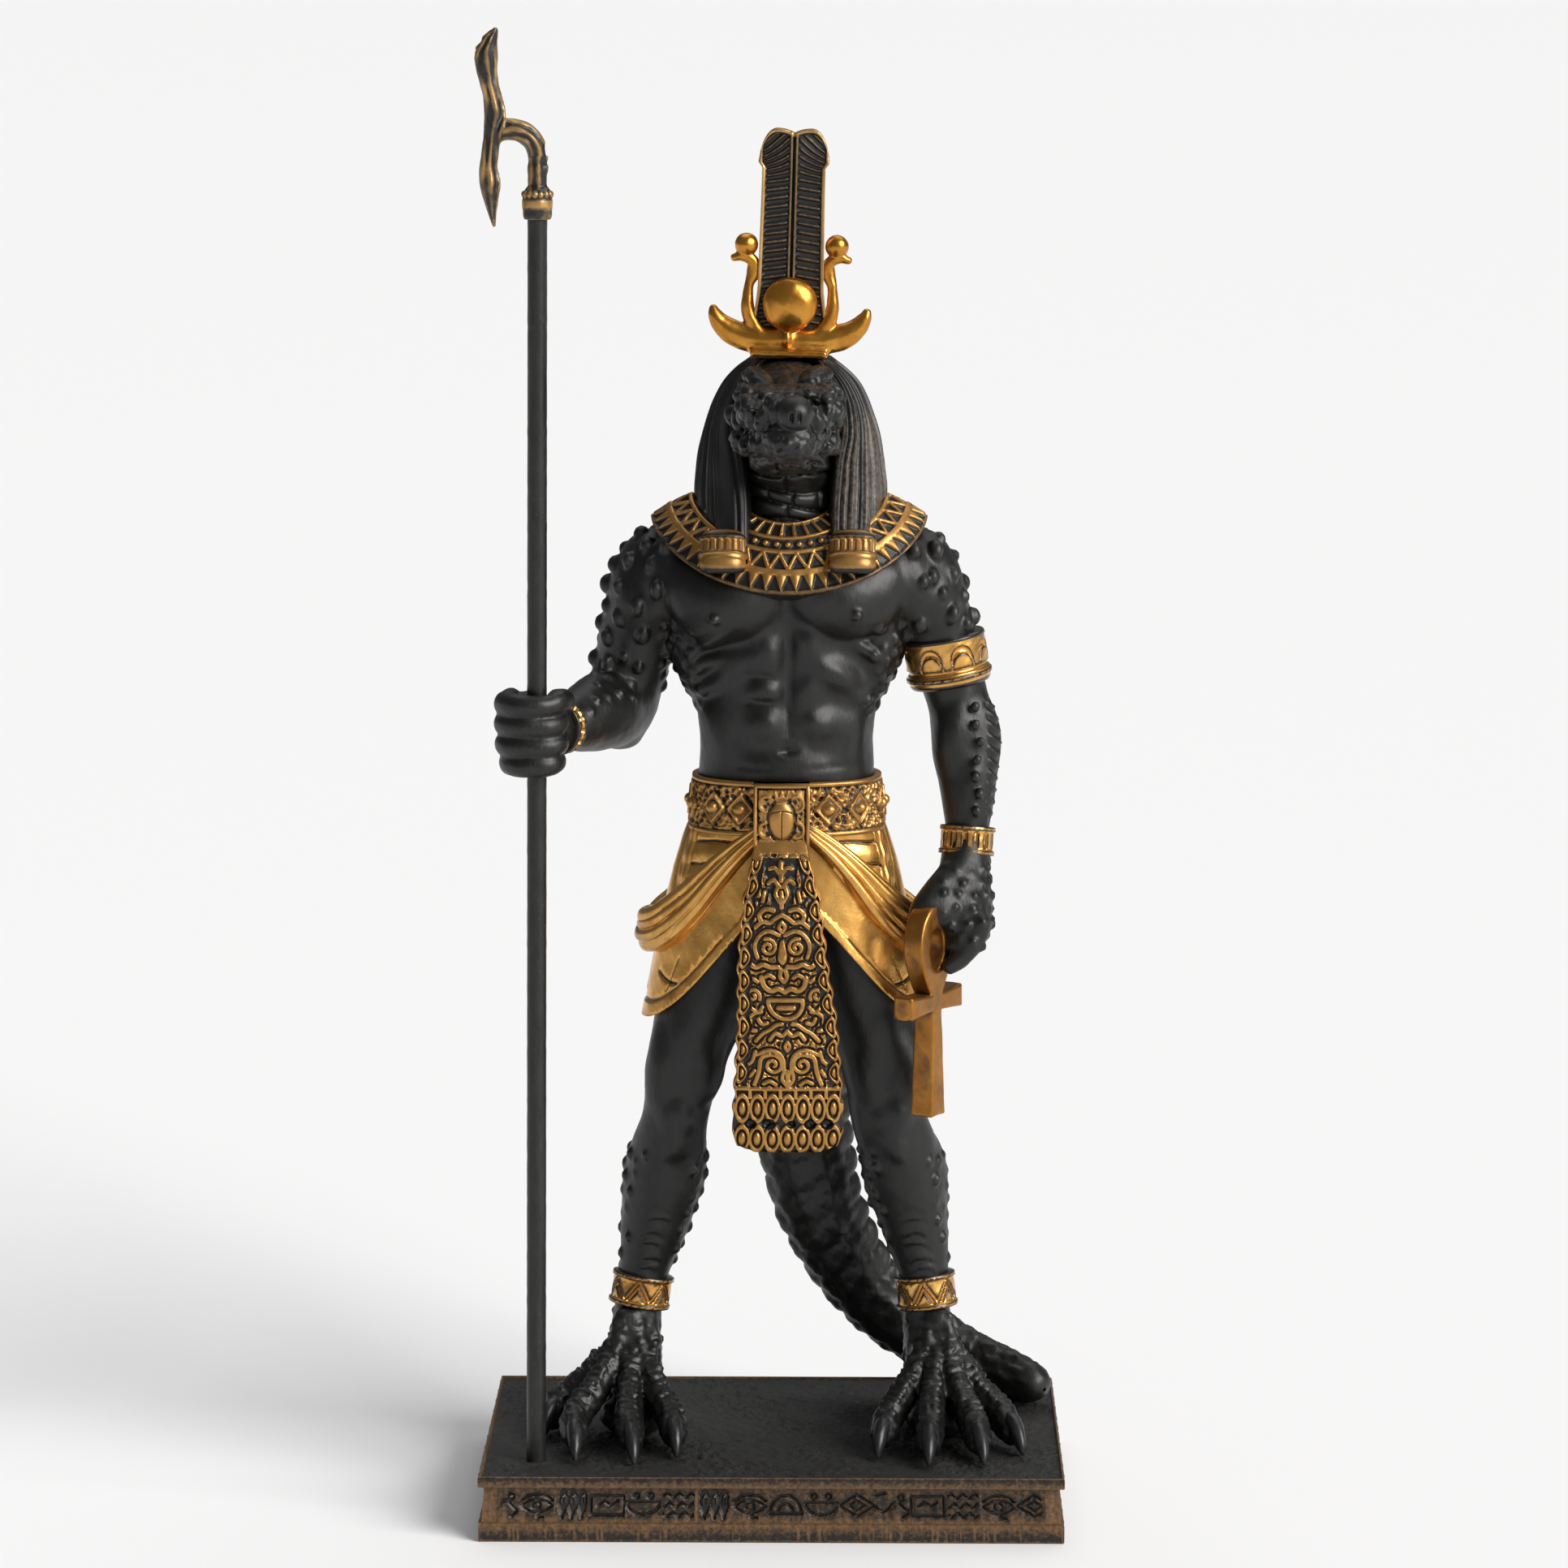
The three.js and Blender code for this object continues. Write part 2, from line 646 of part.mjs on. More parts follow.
function head() {
  const front = new THREE.Vector3(0, 0, 1);
  const parts = [
    limb([
      [0.2, 4, 176, 11, 11],
      [0.2, 1.2, 186, 8.8, 9.6],
      [0.2, -0.6, 196, 8.4, 9.2],
      [0.2, -1, 206, 9, 9.4],
    ], { sides: 8, steps: 3 }),
    limb([
      [0.2, 8, 206, 8.6, 8],
      [0.2, 0, 206.6, 11, 8.8],
      [0.2, -9, 206, 11.6, 8.4],
      [0.2, -17, 205.6, 11, 7.4],
      [0.2, -24, 205.4, 8.8, 6.8],
      [0.2, -30, 205.6, 7, 6.3],
      [0.2, -36, 206, 6.1, 6],
      [0.2, -39.8, 206, 5.2, 5.2],
      [0.2, -42, 206, 2.4, 2.6],
    ], { sides: 8, front, power: 2.4 }),
    muscle([0.2, -37.8, 209.8], [4.8, 4.2, 3]),
    muscle([0.2, -12, 213], [3, 10, 2]),
  ];
  for (const side of [-1, 1]) {
    parts.push(muscle([0.2 + side * 5.2, -14.6, 212.6], [3.4, 4.6, 3.2]));
    parts.push(muscle([0.2 + side * 9.6, -13, 203.6], [3.2, 6.5, 4.4]));
    parts.push(muscle([0.2 + side * 4.6, -33, 208.4], [2.6, 4, 2.2]));
  }
  return parts;
}

// Striated headcloth with two front lappets, cut open for the face
function headcloth() {
  const dome = limb([
    [0.5, 2.6, 216.8, 8.6, 7.8],
    [0.5, 3.4, 212.5, 11.8, 10.6],
    [0.5, 3.8, 205, 15.6, 13],
    [0.5, 4, 197, 17.9, 14.2],
    [0.5, 4, 190, 18.8, 14.4],
    [0.5, 4.4, 183, 18.2, 14],
    [0.5, 6, 176, 14, 13],
  ], { sides: 14, power: 2.2 });
  const window = limb([
    [0.2, -24, 170, 8.6, 24],
    [0.2, -24, 190, 8.8, 24],
    [0.2, -24, 204, 10.4, 24],
    [0.2, -24, 215, 8.6, 24],
  ], { sides: 8, steps: 3, power: 5 });
  const parts = [dome.subtract(window)];
  for (const side of [-1, 1]) {
    const middle = side < 0 ? -12.8 : 12.6;
    parts.push(limb([
      [side * 14.4, -3.6, 200, 4, 3.2],
      [side * 14.2, -7.4, 191, 4.3, 3.4],
      [side * 13.4, -11.6, 183, 4.2, 3.2],
      [middle, -14.6, 178.8, 4.2, 3],
    ], { sides: 8, power: 3 }));
    parts.push(limb([
      [middle, -14.2, 180.2, 4.5, 3.2],
      [middle, -15.2, 176.6, 4.6, 3.2],
    ], { sides: 8, steps: 1, power: 3 }));
  }
  return parts;
}

// Broad collar draped over chest, shoulders and back
function collar() {
  const edge = (angle, grow, lift) => {
    const front = Math.max(Math.sin(angle), 0);
    const back = Math.max(-Math.sin(angle), 0);
    const depth = front > 0 ? 17.6 : 15;
    return at(
      0.6 + (27 + grow) * Math.cos(angle),
      2 - (depth + grow) * Math.sin(angle),
      184.6 - 14 * front ** 1.3 - 4 * back + lift,
    );
  };
  const neckline = (angle) => at(
    0.4 + 9.4 * Math.cos(angle),
    1.6 - 10 * Math.sin(angle),
    189.5 - 4.8 * Math.max(Math.sin(angle), 0),
  );
  const place = (angle, level) => {
    if (level < 0.01) return edge(angle, -5, -3.5);
    if (level < 0.26) return edge(angle, 0, -1.8);
    const share = (level - 0.4) / 0.6;
    if (level < 0.45) return edge(angle, -0.2, 0);
    const spot = edge(angle, -0.2, 0).lerp(neckline(angle), share);
    spot.z += 2 * unit * Math.sin(share * Math.PI);
    return spot;
  };
  return rings(place, 18, 5, [at(0, 2, 168), at(0, 2, 191)]);
}

// Belt with buckle and studs, kilt, swags and apron

function belt() {
  const band = limb([
    [0.1, 3, 122.8, 19.9, 14.2],
    [0.1, 3, 128, 19.4, 13.8],
    [0.1, 3, 133.4, 18.9, 13.4],
  ], { sides: 16, steps: 1, power: 2.3 });
  const parts = [band];
  parts.push(boxBetween(at(-6.6, -12.6, 121.8), at(4.5, -9, 133.4)));
  parts.push(muscle([-1, -12.4, 127.6], [2.8, 1.4, 3.9]));
  for (const angle of [33, 52, 70, 110, 128, 147]) {
    const x = 0.1 + 19.3 * Math.cos(angle * radiansPerDegree);
    const y = 3 - 13.9 * Math.sin(angle * radiansPerDegree);
    if (Math.abs(x + 1) < 8) continue;
    parts.push(muscle([x, y, 128.2], [1.5, 1.2, 1.5]));
  }
  return parts;
}

// Heights of the kilt's hem and top, in carving units
const kiltLevels = [84.6, 124];

// A place on the kilt's surface, raised by grow
function kiltPlace(angle, z, grow = 0) {
  const [hem, top] = kiltLevels;
  const drop = Math.max(top - z, 0) / (top - hem);
  const half = 19.2 + 9.6 * drop ** 0.75 + grow;
  const deep = 13.2 + 4.6 * drop ** 0.9 + grow;
  return [half * Math.cos(angle), 3.4 - deep * Math.sin(angle), z];
}

function kilt() {
  const place = (angle, level) => {
    const hem = kiltLevels[0] + 25 * Math.max(Math.sin(angle), 0) ** 3;
    return at(...kiltPlace(angle, hem + (kiltLevels[1] - hem) * level));
  };
  const parts = [rings(place, 20, 3, [at(0, 4, 103), at(0, 4, kiltLevels[1])])];
  const drape = [[72, 123, 2], [57, 116.5, 3.2], [41, 108.5, 4.2], [22, 103.2, 4.6], [2, 102, 4.4]];
  for (const side of [-1, 1]) {
    const rows = drape.map(([degrees, height, across]) => {
      const angle = (side > 0 ? degrees : 180 - degrees) * radiansPerDegree;
      return [...kiltPlace(angle, height, 0.4), across, 2.2];
    });
    const front = new THREE.Vector3(side * 0.7, -0.7, 0);
    parts.push(limb(rows, { sides: 10, front, lobes: 0.14 }));
    parts.push(muscle([side * 28, -0.6, 100.6], [2.6, 3.4, 4.8]));
  }
  return parts;
}

function apron() {
  return limb([
    [0.2, -15.2, 60.6, 6.5, 1.5],
    [0.4, -15.6, 62, 10.4, 1.7],
    [0.5, -15.9, 65, 11.4, 1.8],
    [0.6, -16.4, 74, 10.8, 1.8],
    [0.4, -16.4, 87, 10, 1.8],
    [-0.5, -16, 99, 9, 1.8],
    [-0.7, -15.2, 111, 8, 1.8],
    [-0.9, -13.6, 120.8, 5.5, 1.8],
    [-0.9, -12, 124, 5.4, 1.8],
  ], { sides: 8, steps: 7, power: 4 });
}

// A raised band round a limb between two places
function cuff(from, to, radius) {
  return limb([
    [...from, radius, radius],
    [...to, radius, radius],
  ], { sides: 10 });
}

function cuffs() {
  return [
    cuff([32.2, 5.2, 159.6], [33.8, 5.6, 150.6], 7.7),
    cuff([36.5, -0.3, 123.6], [36.5, -1.6, 117.2], 5.4),
    cuff([-43.2, -14.6, 145.5], [-44.8, -18, 145.5], 5.5),
    cuff([-28.8, 4.8, 30.6], [-29.9, 4.2, 24], 6.6),
    cuff([27.8, 4.8, 30.8], [28.6, 4.2, 23.8], 6.6),
  ];
}

function figure() {
  const parts = [
    ...trunk(),
    ...arms(),
    ...staffFist(),
    ...ankhFist(),
    ...legs(),
    ...feet(),
    tail(),
    ...head(),
    ...headcloth(),
    collar(),
    ...belt(),
    ...kilt(),
    apron(),
    ...cuffs(),
  ];
  const below = boxBetween(
    new THREE.Vector3(-plinthWidth, -plinthWidth, plinthHeight - figureHeight),
    new THREE.Vector3(plinthWidth, plinthWidth, plinthHeight),
  );
  const seat = crownSeat();
  const above = boxBetween(
    new THREE.Vector3(seat.x - plinthWidth, seat.y - plinthWidth, seat.z),
    new THREE.Vector3(seat.x + plinthWidth, seat.y + plinthWidth, seat.z + plumeHeight),
  );
  return join(parts)
    .subtract(below)
    .subtract(above)
    .subtract(staffShape(glueGap).shaft)
    .subtract(ankh(glueGap));
}

// Materials and assembly

const darkResin = { color: 0x2b2b2c, roughness: 0.55, metalness: 0.05 };
const bronzedResin = { color: 0x3a2d1d, roughness: 0.6, metalness: 0.2 };
const goldPaint = { color: 0xb98633, roughness: 0.4, metalness: 0.8 };

function piece(name, geometry, look) {
  const mesh = new THREE.Mesh(geometry, new THREE.MeshStandardMaterial(look));
  mesh.name = name;
  return mesh;
}

const statue = new THREE.Group();
statue.add(
  piece("plinth", geometryOf(plinth()), bronzedResin),
  piece("figure", geometryOf(figure()), darkResin),
  piece("crown", crown(), goldPaint),
  piece("staff_rod", geometryOf(staffShape(0).shaft), darkResin),
  piece("staff_head", geometryOf(staffHead()), goldPaint),
  piece("ankh", geometryOf(ankh(0)), goldPaint),
);

export default statue;
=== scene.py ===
"""Cast resin figure of a standing crocodile-headed man with staff and ankh, on its plinth.

Lengths are in millimetres and become metres where a mesh is made. Carving places are counted
from the figure's axis and from the plinth's top. The figure faces -Y.
"""
import itertools
import math

import bpy
import numpy as np
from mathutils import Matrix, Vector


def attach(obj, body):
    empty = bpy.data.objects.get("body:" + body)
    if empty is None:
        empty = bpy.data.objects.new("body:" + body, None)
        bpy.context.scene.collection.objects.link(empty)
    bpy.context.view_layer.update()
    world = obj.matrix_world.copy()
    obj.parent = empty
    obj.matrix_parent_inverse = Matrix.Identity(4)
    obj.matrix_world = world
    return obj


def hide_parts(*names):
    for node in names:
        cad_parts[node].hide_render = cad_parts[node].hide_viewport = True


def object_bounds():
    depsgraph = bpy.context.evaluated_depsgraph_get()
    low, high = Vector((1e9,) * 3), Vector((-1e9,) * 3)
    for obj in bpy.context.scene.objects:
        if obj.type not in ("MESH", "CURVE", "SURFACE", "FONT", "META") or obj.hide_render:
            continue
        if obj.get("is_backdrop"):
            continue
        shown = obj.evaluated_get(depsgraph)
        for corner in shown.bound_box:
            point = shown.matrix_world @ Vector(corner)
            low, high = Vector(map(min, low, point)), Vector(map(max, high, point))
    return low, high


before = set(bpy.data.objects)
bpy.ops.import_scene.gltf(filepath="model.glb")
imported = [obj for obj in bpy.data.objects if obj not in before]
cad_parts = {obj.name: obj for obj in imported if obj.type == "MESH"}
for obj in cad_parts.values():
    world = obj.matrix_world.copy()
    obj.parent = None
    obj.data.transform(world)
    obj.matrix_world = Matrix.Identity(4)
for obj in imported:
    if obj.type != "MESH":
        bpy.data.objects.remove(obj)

import openvdb

MM = 0.001
CAD_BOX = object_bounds()
for loaded in bpy.context.selected_objects:
    loaded.select_set(False)

# Sizes of the object, as in the solids
PLINTH_W, PLINTH_D, PLINTH_H = 115.0, 74.0, 13.2
SLAB_T, BASE_BAND_H, PANEL_RECESS, PANEL_BATTER = 2.2, 3.8, 1.2, 0.6
FIGURE_X = 2.5
SEAT_Z = 216.2
STAFF_D, STAFF_LENGTH, STAFF_SOCKET = 3.9, 256.0, 9.0
STAFF_FOOT = PLINTH_H - STAFF_SOCKET
STAFF_X, STAFF_Y, STAFF_LEAN = -46.8, -23.6, math.radians(0.47)
ANKH_H, ANKH_SPAN, ANKH_T, ANKH_ARM, ANKH_LOOP = 41.5, 18.8, 5.2, 3.7, 12.0
ANKH_TURN = math.radians(57)
ANKH_AT = np.array([28.2, -13.0, 90.4])
PLATE_W, PLATE_D, PLATE_T = 15.0, 9.0, 1.3
HORN_SPAN = 32.4
PLUME_H, PLUME_W, PLUME_T = 41.0, 13.6, 3.6
SUN_R, BALL_R = 5.6, 2.3
CROWN_TILT = math.radians(1.6)
KILT_TOP, KILT_HEM = 124.0, 84.6
# Edges and middle radius of the belt
BELT_LOW, BELT_TOP, BELT_R = 122.8, 133.4, 16.5

# Camera and light


def add_camera():
    data = bpy.data.cameras.new("photo_view")
    data.lens = 126.5
    data.sensor_width = 36.0
    camera = bpy.data.objects.new("photo_view", data)
    camera.location = (0.0160, -1.0784, 0.3243)
    camera.rotation_euler = (math.radians(80.55), 0.0, math.radians(0.74))
    bpy.context.scene.collection.objects.link(camera)
    bpy.context.scene.camera = camera


def add_sun(name, toward, softness, power, tint=(1.0, 1.0, 1.0)):
    """A distant soft light; toward points to it from the figure and softness is its width in degrees."""
    data = bpy.data.lights.new(name, "SUN")
    data.angle = math.radians(softness)
    data.energy = power
    data.color = tint
    lamp = bpy.data.objects.new(name, data)
    lamp.location = toward
    level = math.hypot(toward[0], toward[1])
    lamp.rotation_euler = (math.atan2(level, toward[2]), 0.0, math.atan2(toward[0], -toward[1]))
    bpy.context.scene.collection.objects.link(lamp)


def light_scene():
    world = bpy.data.worlds.new("studio")
    world.use_nodes = True
    sky = world.node_tree.nodes["Background"].inputs
    sky["Color"].default_value = (0.98, 0.99, 1.0, 1.0)
    sky["Strength"].default_value = 0.16
    bpy.context.scene.world = world
    bpy.context.scene.view_settings.view_transform = "Standard"
    add_sun("key", (0.84, -0.62, 0.58), 40.0, 3.95, (1.0, 0.985, 0.965))
    add_sun("overhead", (0.1, 0.4, 1.0), 60.0, 0.84)


# Materials


def linear(code):
    """A colour given as an sRGB hex code, made linear."""
    parts = [int(code[i:i + 2], 16) / 255 for i in (1, 3, 5)]
    return [c / 12.92 if c <= 0.04045 else ((c + 0.055) / 1.055) ** 2.4 for c in parts] + [1.0]


def add_node(tree, kind, inputs=None, **settings):
    """Adds a node with its settings; each input takes a value or another node's output."""
    node = tree.nodes.new(kind)
    for key, value in settings.items():
        setattr(node, key, value)
    for key, value in (inputs or {}).items():
        if isinstance(value, bpy.types.NodeSocket):
            tree.links.new(value, node.inputs[key])
        else:
            node.inputs[key].default_value = value
    return node


def start_material(name):
    material = bpy.data.materials.new(name)
    material.use_nodes = True
    tree = material.node_tree
    shader = tree.nodes["Principled BSDF"]
    places = add_node(tree, "ShaderNodeTexCoord").outputs["Object"]
    return material, tree, shader, places


def grain(tree, places, size, detail=3.0, rough=0.55):
    """Noise whose features are size millimetres across."""
    inputs = {"Vector": places, "Scale": 1.0 / (size * MM), "Detail": detail, "Roughness": rough}
    return add_node(tree, "ShaderNodeTexNoise", inputs).outputs[0]


def calculate(tree, operation, *inputs):
    return add_node(tree, "ShaderNodeMath", dict(enumerate(inputs)), operation=operation).outputs[0]


def mapped(tree, value, low=0.0, high=1.0, to_low=0.0, to_high=1.0):
    inputs = {0: value, 1: low, 2: high, 3: to_low, 4: to_high}
    return add_node(tree, "ShaderNodeMapRange", inputs).outputs[0]


def mixed(tree, share, first, second):
    return add_node(tree, "ShaderNodeMix", {0: share, 6: first, 7: second}, data_type="RGBA").outputs[2]


def worn_share(tree, attribute, speck, depth, low, high):
    """How much of the outer colour is left: a mesh attribute broken up by specks."""
    height = add_node(tree, "ShaderNodeAttribute", attribute_name=attribute).outputs["Fac"]
    uneven = calculate(tree, "MULTIPLY_ADD", speck, depth, -depth / 2)
    return mapped(tree, calculate(tree, "ADD", height, uneven), low, high)


def connect(tree, shader, colour, metal, rough, strength, depth, height):
    """Wires the shader; the bump is depth millimetres deep."""
    bump = add_node(tree, "ShaderNodeBump", {"Strength": strength, "Distance": depth * MM, "Height": height})
    for key, output in (("Base Color", colour), ("Metallic", metal), ("Roughness", rough),
                        ("Normal", bump.outputs[0])):
        tree.links.new(output, shader.inputs[key])


def painted_resin(name, dark, light, rub, rough, micro, shine=0.4, rub_metal=0.6):
    """Satin painted resin: a dark coat with faint brush streaks, and a lighter colour rubbed on top, which on
    the headcloth also paints the highlight of its lit side.
    """
    material, tree, shader, places = start_material(name)
    upright = add_node(tree, "ShaderNodeMapping", {"Vector": places, "Scale": (1.0, 1.0, 0.3)}).outputs[0]
    streak = mapped(tree, grain(tree, upright, 1.6, 4.0, 0.6), 0.35, 0.7)
    coat = mixed(tree, streak, linear(dark), linear(light))
    share = worn_share(tree, "rub", grain(tree, places, 0.8, 4.0, 0.7), 0.9, 0.3, 0.8)
    connect(tree, shader, mixed(tree, share, coat, linear(rub)),
            calculate(tree, "MULTIPLY", share, rub_metal),
            mapped(tree, grain(tree, places, 9.0), to_low=rough - 0.07, to_high=rough + 0.09),
            1.0, micro, grain(tree, upright, 0.55, 5.0, 0.65))
    shader.inputs["Specular IOR Level"].default_value = shine
    return material


def gilded_resin(name, dark, mid, bright, rough, wash_low, wash_high, metal=0.85, coat=0.0):
    """Gold paint over black resin: a dark wash stays in the hollows and the raised work is bright."""
    material, tree, shader, places = start_material(name)
    share = worn_share(tree, "relief", grain(tree, places, 1.1, 5.0, 0.7), 0.5, wash_low, wash_high)
    broad = grain(tree, places, 5.0, 4.0, 0.6)
    gold = mixed(tree, mapped(tree, broad, 0.15, 0.85), linear(mid), linear(bright))
    connect(tree, shader, mixed(tree, share, linear(dark), gold),
            calculate(tree, "MULTIPLY", share, metal),
            mapped(tree, broad, to_low=rough + 0.12, to_high=rough - 0.04),
            0.35, 0.08, grain(tree, places, 0.7, 4.0, 0.6))
    shader.inputs["Coat Weight"].default_value = coat
    shader.inputs["Coat Roughness"].default_value = 0.22
    return material


# Relief functions, on arrays


def ease(value):
    value = np.clip(value, 0.0, 1.0)
    return value * value * (3.0 - 2.0 * value)


def ridge(distance, half_width, edge=0.3):
    """One within half_width of a line, falling to nothing over edge."""
    return ease((half_width + edge - np.abs(distance)) / edge)


def dome(distance, radius):
    return np.sqrt(np.clip(1.0 - (distance / radius) ** 2, 0.0, 1.0))


def repeat(value, pitch):
    """Signed distance along a row from the nearest of its evenly spaced middles."""
    return (value / pitch - np.floor(value / pitch) - 0.5) * pitch


def between(value, low, high):
    return (value > low) & (value < high)


def bell(distance):
    return np.exp(-(distance ** 2))


def squared_off(angle, power):
    """Reach of a rounded square of half width one, at an angle; power 2 is a circle."""
    return (np.abs(np.cos(angle)) ** power + np.abs(np.sin(angle)) ** power) ** (-1 / power)


def join_axes(x, y, z):
    """Places from coordinates that broadcast together."""
    return np.stack(np.broadcast_arrays(x, y, z), -1)


def unit(ways):
    return ways / np.linalg.norm(ways, axis=-1, keepdims=True).clip(1e-9)


def path_lengths(rows):
    return np.concatenate([[0], np.cumsum(np.linalg.norm(np.diff(rows[:, :3], axis=0), axis=1))])


def with_ends(values, low=0.0, high=0.0):
    """Values of a tube's points in order, then those of the middles of its two ends."""
    return np.concatenate([np.asarray(values).ravel(), [low, high]])


def waves(points, size, turn=0.0):
    """Smooth unevenness between about -1 and 1, with lumps about size apart."""
    x, y, z = points[..., 0] / size, points[..., 1] / size, points[..., 2] / size
    first = np.sin(2.1 * x + 1.3 * y + turn) * np.sin(1.7 * z - 0.9 * x + 2.0 * turn)
    second = np.sin(3.7 * y - 1.1 * z + 3.0 * turn) * np.sin(2.9 * x + 2.3 * z)
    return 0.6 * first + 0.4 * second


def pebbles(points, size, seed=1, jitter=0.76):
    """Distance from each point to its nearest and next nearest scattered scale centre."""
    points = np.asarray(points, np.float32)
    cell = np.floor(points / size).astype(np.int64)
    nearest = np.full(len(points), 1e9, np.float32)
    second = nearest.copy()
    for step in itertools.product((-1, 0, 1), repeat=3):
        corner = cell + np.array(step)
        key = corner[:, 0] * 73856093 ^ corner[:, 1] * 19349663 ^ corner[:, 2] * 83492791 ^ seed * 2654435
        spread = []
        for turn in (12.9898, 78.233, 37.719):
            wave = np.sin((key % 100003) * turn) * 43758.5453
            spread.append(wave - np.floor(wave))
        centre = (corner + 0.5 + jitter * (np.stack(spread, -1) - 0.5)) * size
        away = np.sqrt(((points - centre) ** 2).sum(-1)).astype(np.float32)
        second = np.minimum(second, np.maximum(nearest, away))
        nearest = np.minimum(nearest, away)
    return nearest, second


def pitted(places, size, seed, radius):
    """Pits and creases of hammered metal over a grid of places, each from nothing to one."""
    near, second = (away.reshape(places.shape[:-1])
                    for away in pebbles(places.reshape(-1, 3), size, seed, 0.9))
    return dome(near, radius), 1 - ease((second - near) / 0.2)


def window(value, low, high, edge):
    """One between low and high, fading out over edge on both sides."""
    return ease((value - low) / edge) * ease((high - value) / edge)


# Meshes


def carve(points):
    """Carving places moved into the object's frame."""
    return np.asarray(points, float) + np.array([FIGURE_X, 0.0, PLINTH_H])


def enclosed(points, quads):
    """Volume of a closed mesh of quads, positive when its faces point out."""
    corners = points[quads]
    first = np.einsum("ij,ij->i", corners[:, 0], np.cross(corners[:, 1], corners[:, 2]))
    second = np.einsum("ij,ij->i", corners[:, 0], np.cross(corners[:, 2], corners[:, 3]))
    return (first.sum() + second.sum()) / 6.0


# Most triangles that a piece keeps; the whole stays under a million
MOST = {
    "trunk_and_arms": 118000, "legs_and_feet": 96000, "head_and_neck": 98000, "headcloth": 60000,
    "tail": 40000, "claws": 7000, "collar": 82000, "belt": 52000, "buckle": 16000, "kilt": 62000,
    "apron": 82000, "swag_left": 15000, "swag_right": 15000,
    "lappet_band_left": 10000, "lappet_band_right": 10000,
    "armlet": 14000, "bracelet_left": 5000, "bracelet_right": 8000, "anklet_left": 9000, "anklet_right": 9000,
    "crown_base": 20000, "plumes": 34000, "staff_rod_skin": 4000, "staff_head_cast": 22000, "ankh_cast": 8000,
    "plinth_body": 52000, "plinth_ground": 34000,
}


def thin_out(piece, share):
    """Merges the flattest edges until this share of the triangles is left."""
    modifier = piece.modifiers.new("thinner", "DECIMATE")
    modifier.ratio = share
    bpy.context.view_layer.objects.active = piece
    bpy.ops.object.modifier_apply(modifier=modifier.name)


def make_piece(name, points, quads, material, slot, smooth=180.0, **attributes):
    """A closed mesh of quads in millimetres becomes a finished piece on the root body."""
    if enclosed(points, quads) < 0:
        quads = quads[:, ::-1]
    mesh = bpy.data.meshes.new(name)
    mesh.vertices.add(len(points))
    mesh.vertices.foreach_set("co", (points * MM).astype(np.float32).ravel())
    corners = quads.astype(np.int32)
    is_triangle = corners[:, 2] == corners[:, 3]
    counts = np.where(is_triangle, 3, 4)
    keep = np.ones(corners.shape, bool)
    keep[is_triangle, 3] = False
    mesh.loops.add(int(counts.sum()))
    mesh.loops.foreach_set("vertex_index", corners[keep])
    mesh.polygons.add(len(corners))
    mesh.polygons.foreach_set("loop_start", np.concatenate([[0], np.cumsum(counts)[:-1]]).astype(np.int32))
    mesh.update(calc_edges=True)
    mesh.validate()
    for key, values in attributes.items():
        layer = mesh.attributes.new(key, "FLOAT", "POINT")
        layer.data.foreach_set("value", np.asarray(values, np.float32).ravel())
    piece = bpy.data.objects.new(name, mesh)
    bpy.context.scene.collection.objects.link(piece)
    mesh.materials.append(material)
    triangles = int((counts - 2).sum())
    if triangles > MOST[name]:
        thin_out(piece, MOST[name] / triangles)
    mesh.shade_smooth()
    if smooth < 180.0:
        mesh.set_sharp_from_angle(angle=math.radians(smooth))
    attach(piece, "root")
    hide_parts(slot)
    return piece


def grid_quads(rows, columns, close_rows=False):
    """Quads of a grid whose columns close on themselves; its rows may close too."""
    last = rows if close_rows else rows - 1
    row, column = np.meshgrid(np.arange(last), np.arange(columns), indexing="ij")
    over = (row + 1) % rows
    beside = (column + 1) % columns
    quads = [row * columns + column, row * columns + beside, over * columns + beside, over * columns + column]
    return np.stack(quads, -1).reshape(-1, 4)


def closed_tube(sections):
    """Closes a run of section loops [rows, columns, 3] with a fan at each end."""
    rows, columns = sections.shape[:2]
    quads = grid_quads(rows, columns)
    points = sections.reshape(-1, 3)
    ends = np.stack([sections[0].mean(0), sections[-1].mean(0)])
    around = np.arange(columns)
    beside = (around + 1) % columns
    low = np.stack([beside, around, np.full(columns, len(points)), np.full(columns, len(points))], -1)
    top = (rows - 1) * columns
    middle = np.full(columns, len(points) + 1)
    high = np.stack([top + around, top + beside, middle, middle], -1)
    return np.concatenate([points, ends]), np.concatenate([quads, low, high])


def closed_ring(sections):
    """Joins section loops [rows, columns, 3] into a closed ring."""
    rows, columns = sections.shape[:2]
    return sections.reshape(-1, 3), grid_quads(rows, columns, close_rows=True)


def hollows(points, quads, rounds=3):
    """How far each point stands out from its smoothed neighbours, negative in a hollow."""
    edges = np.concatenate([quads[:, [0, 1]], quads[:, [1, 2]], quads[:, [2, 3]], quads[:, [3, 0]]])
    edges = edges[edges[:, 0] != edges[:, 1]]
    count = np.bincount(edges.ravel(), minlength=len(points))[:, None].clip(1)
    corners = points[quads]
    face = np.cross(corners[:, 2] - corners[:, 0], corners[:, 3] - corners[:, 1])
    normal = np.zeros_like(points)
    for corner in range(4):
        np.add.at(normal, quads[:, corner], face)
    soft = points.copy()
    for _ in range(rounds):
        total = np.zeros_like(soft)
        np.add.at(total, edges[:, 0], soft[edges[:, 1]])
        np.add.at(total, edges[:, 1], soft[edges[:, 0]])
        soft = total / count
    return ((points - soft) * unit(normal)).sum(1)


def figure_piece(name, points, quads, material, **attributes):
    return make_piece(name, carve(points), quads, material, "figure", **attributes)


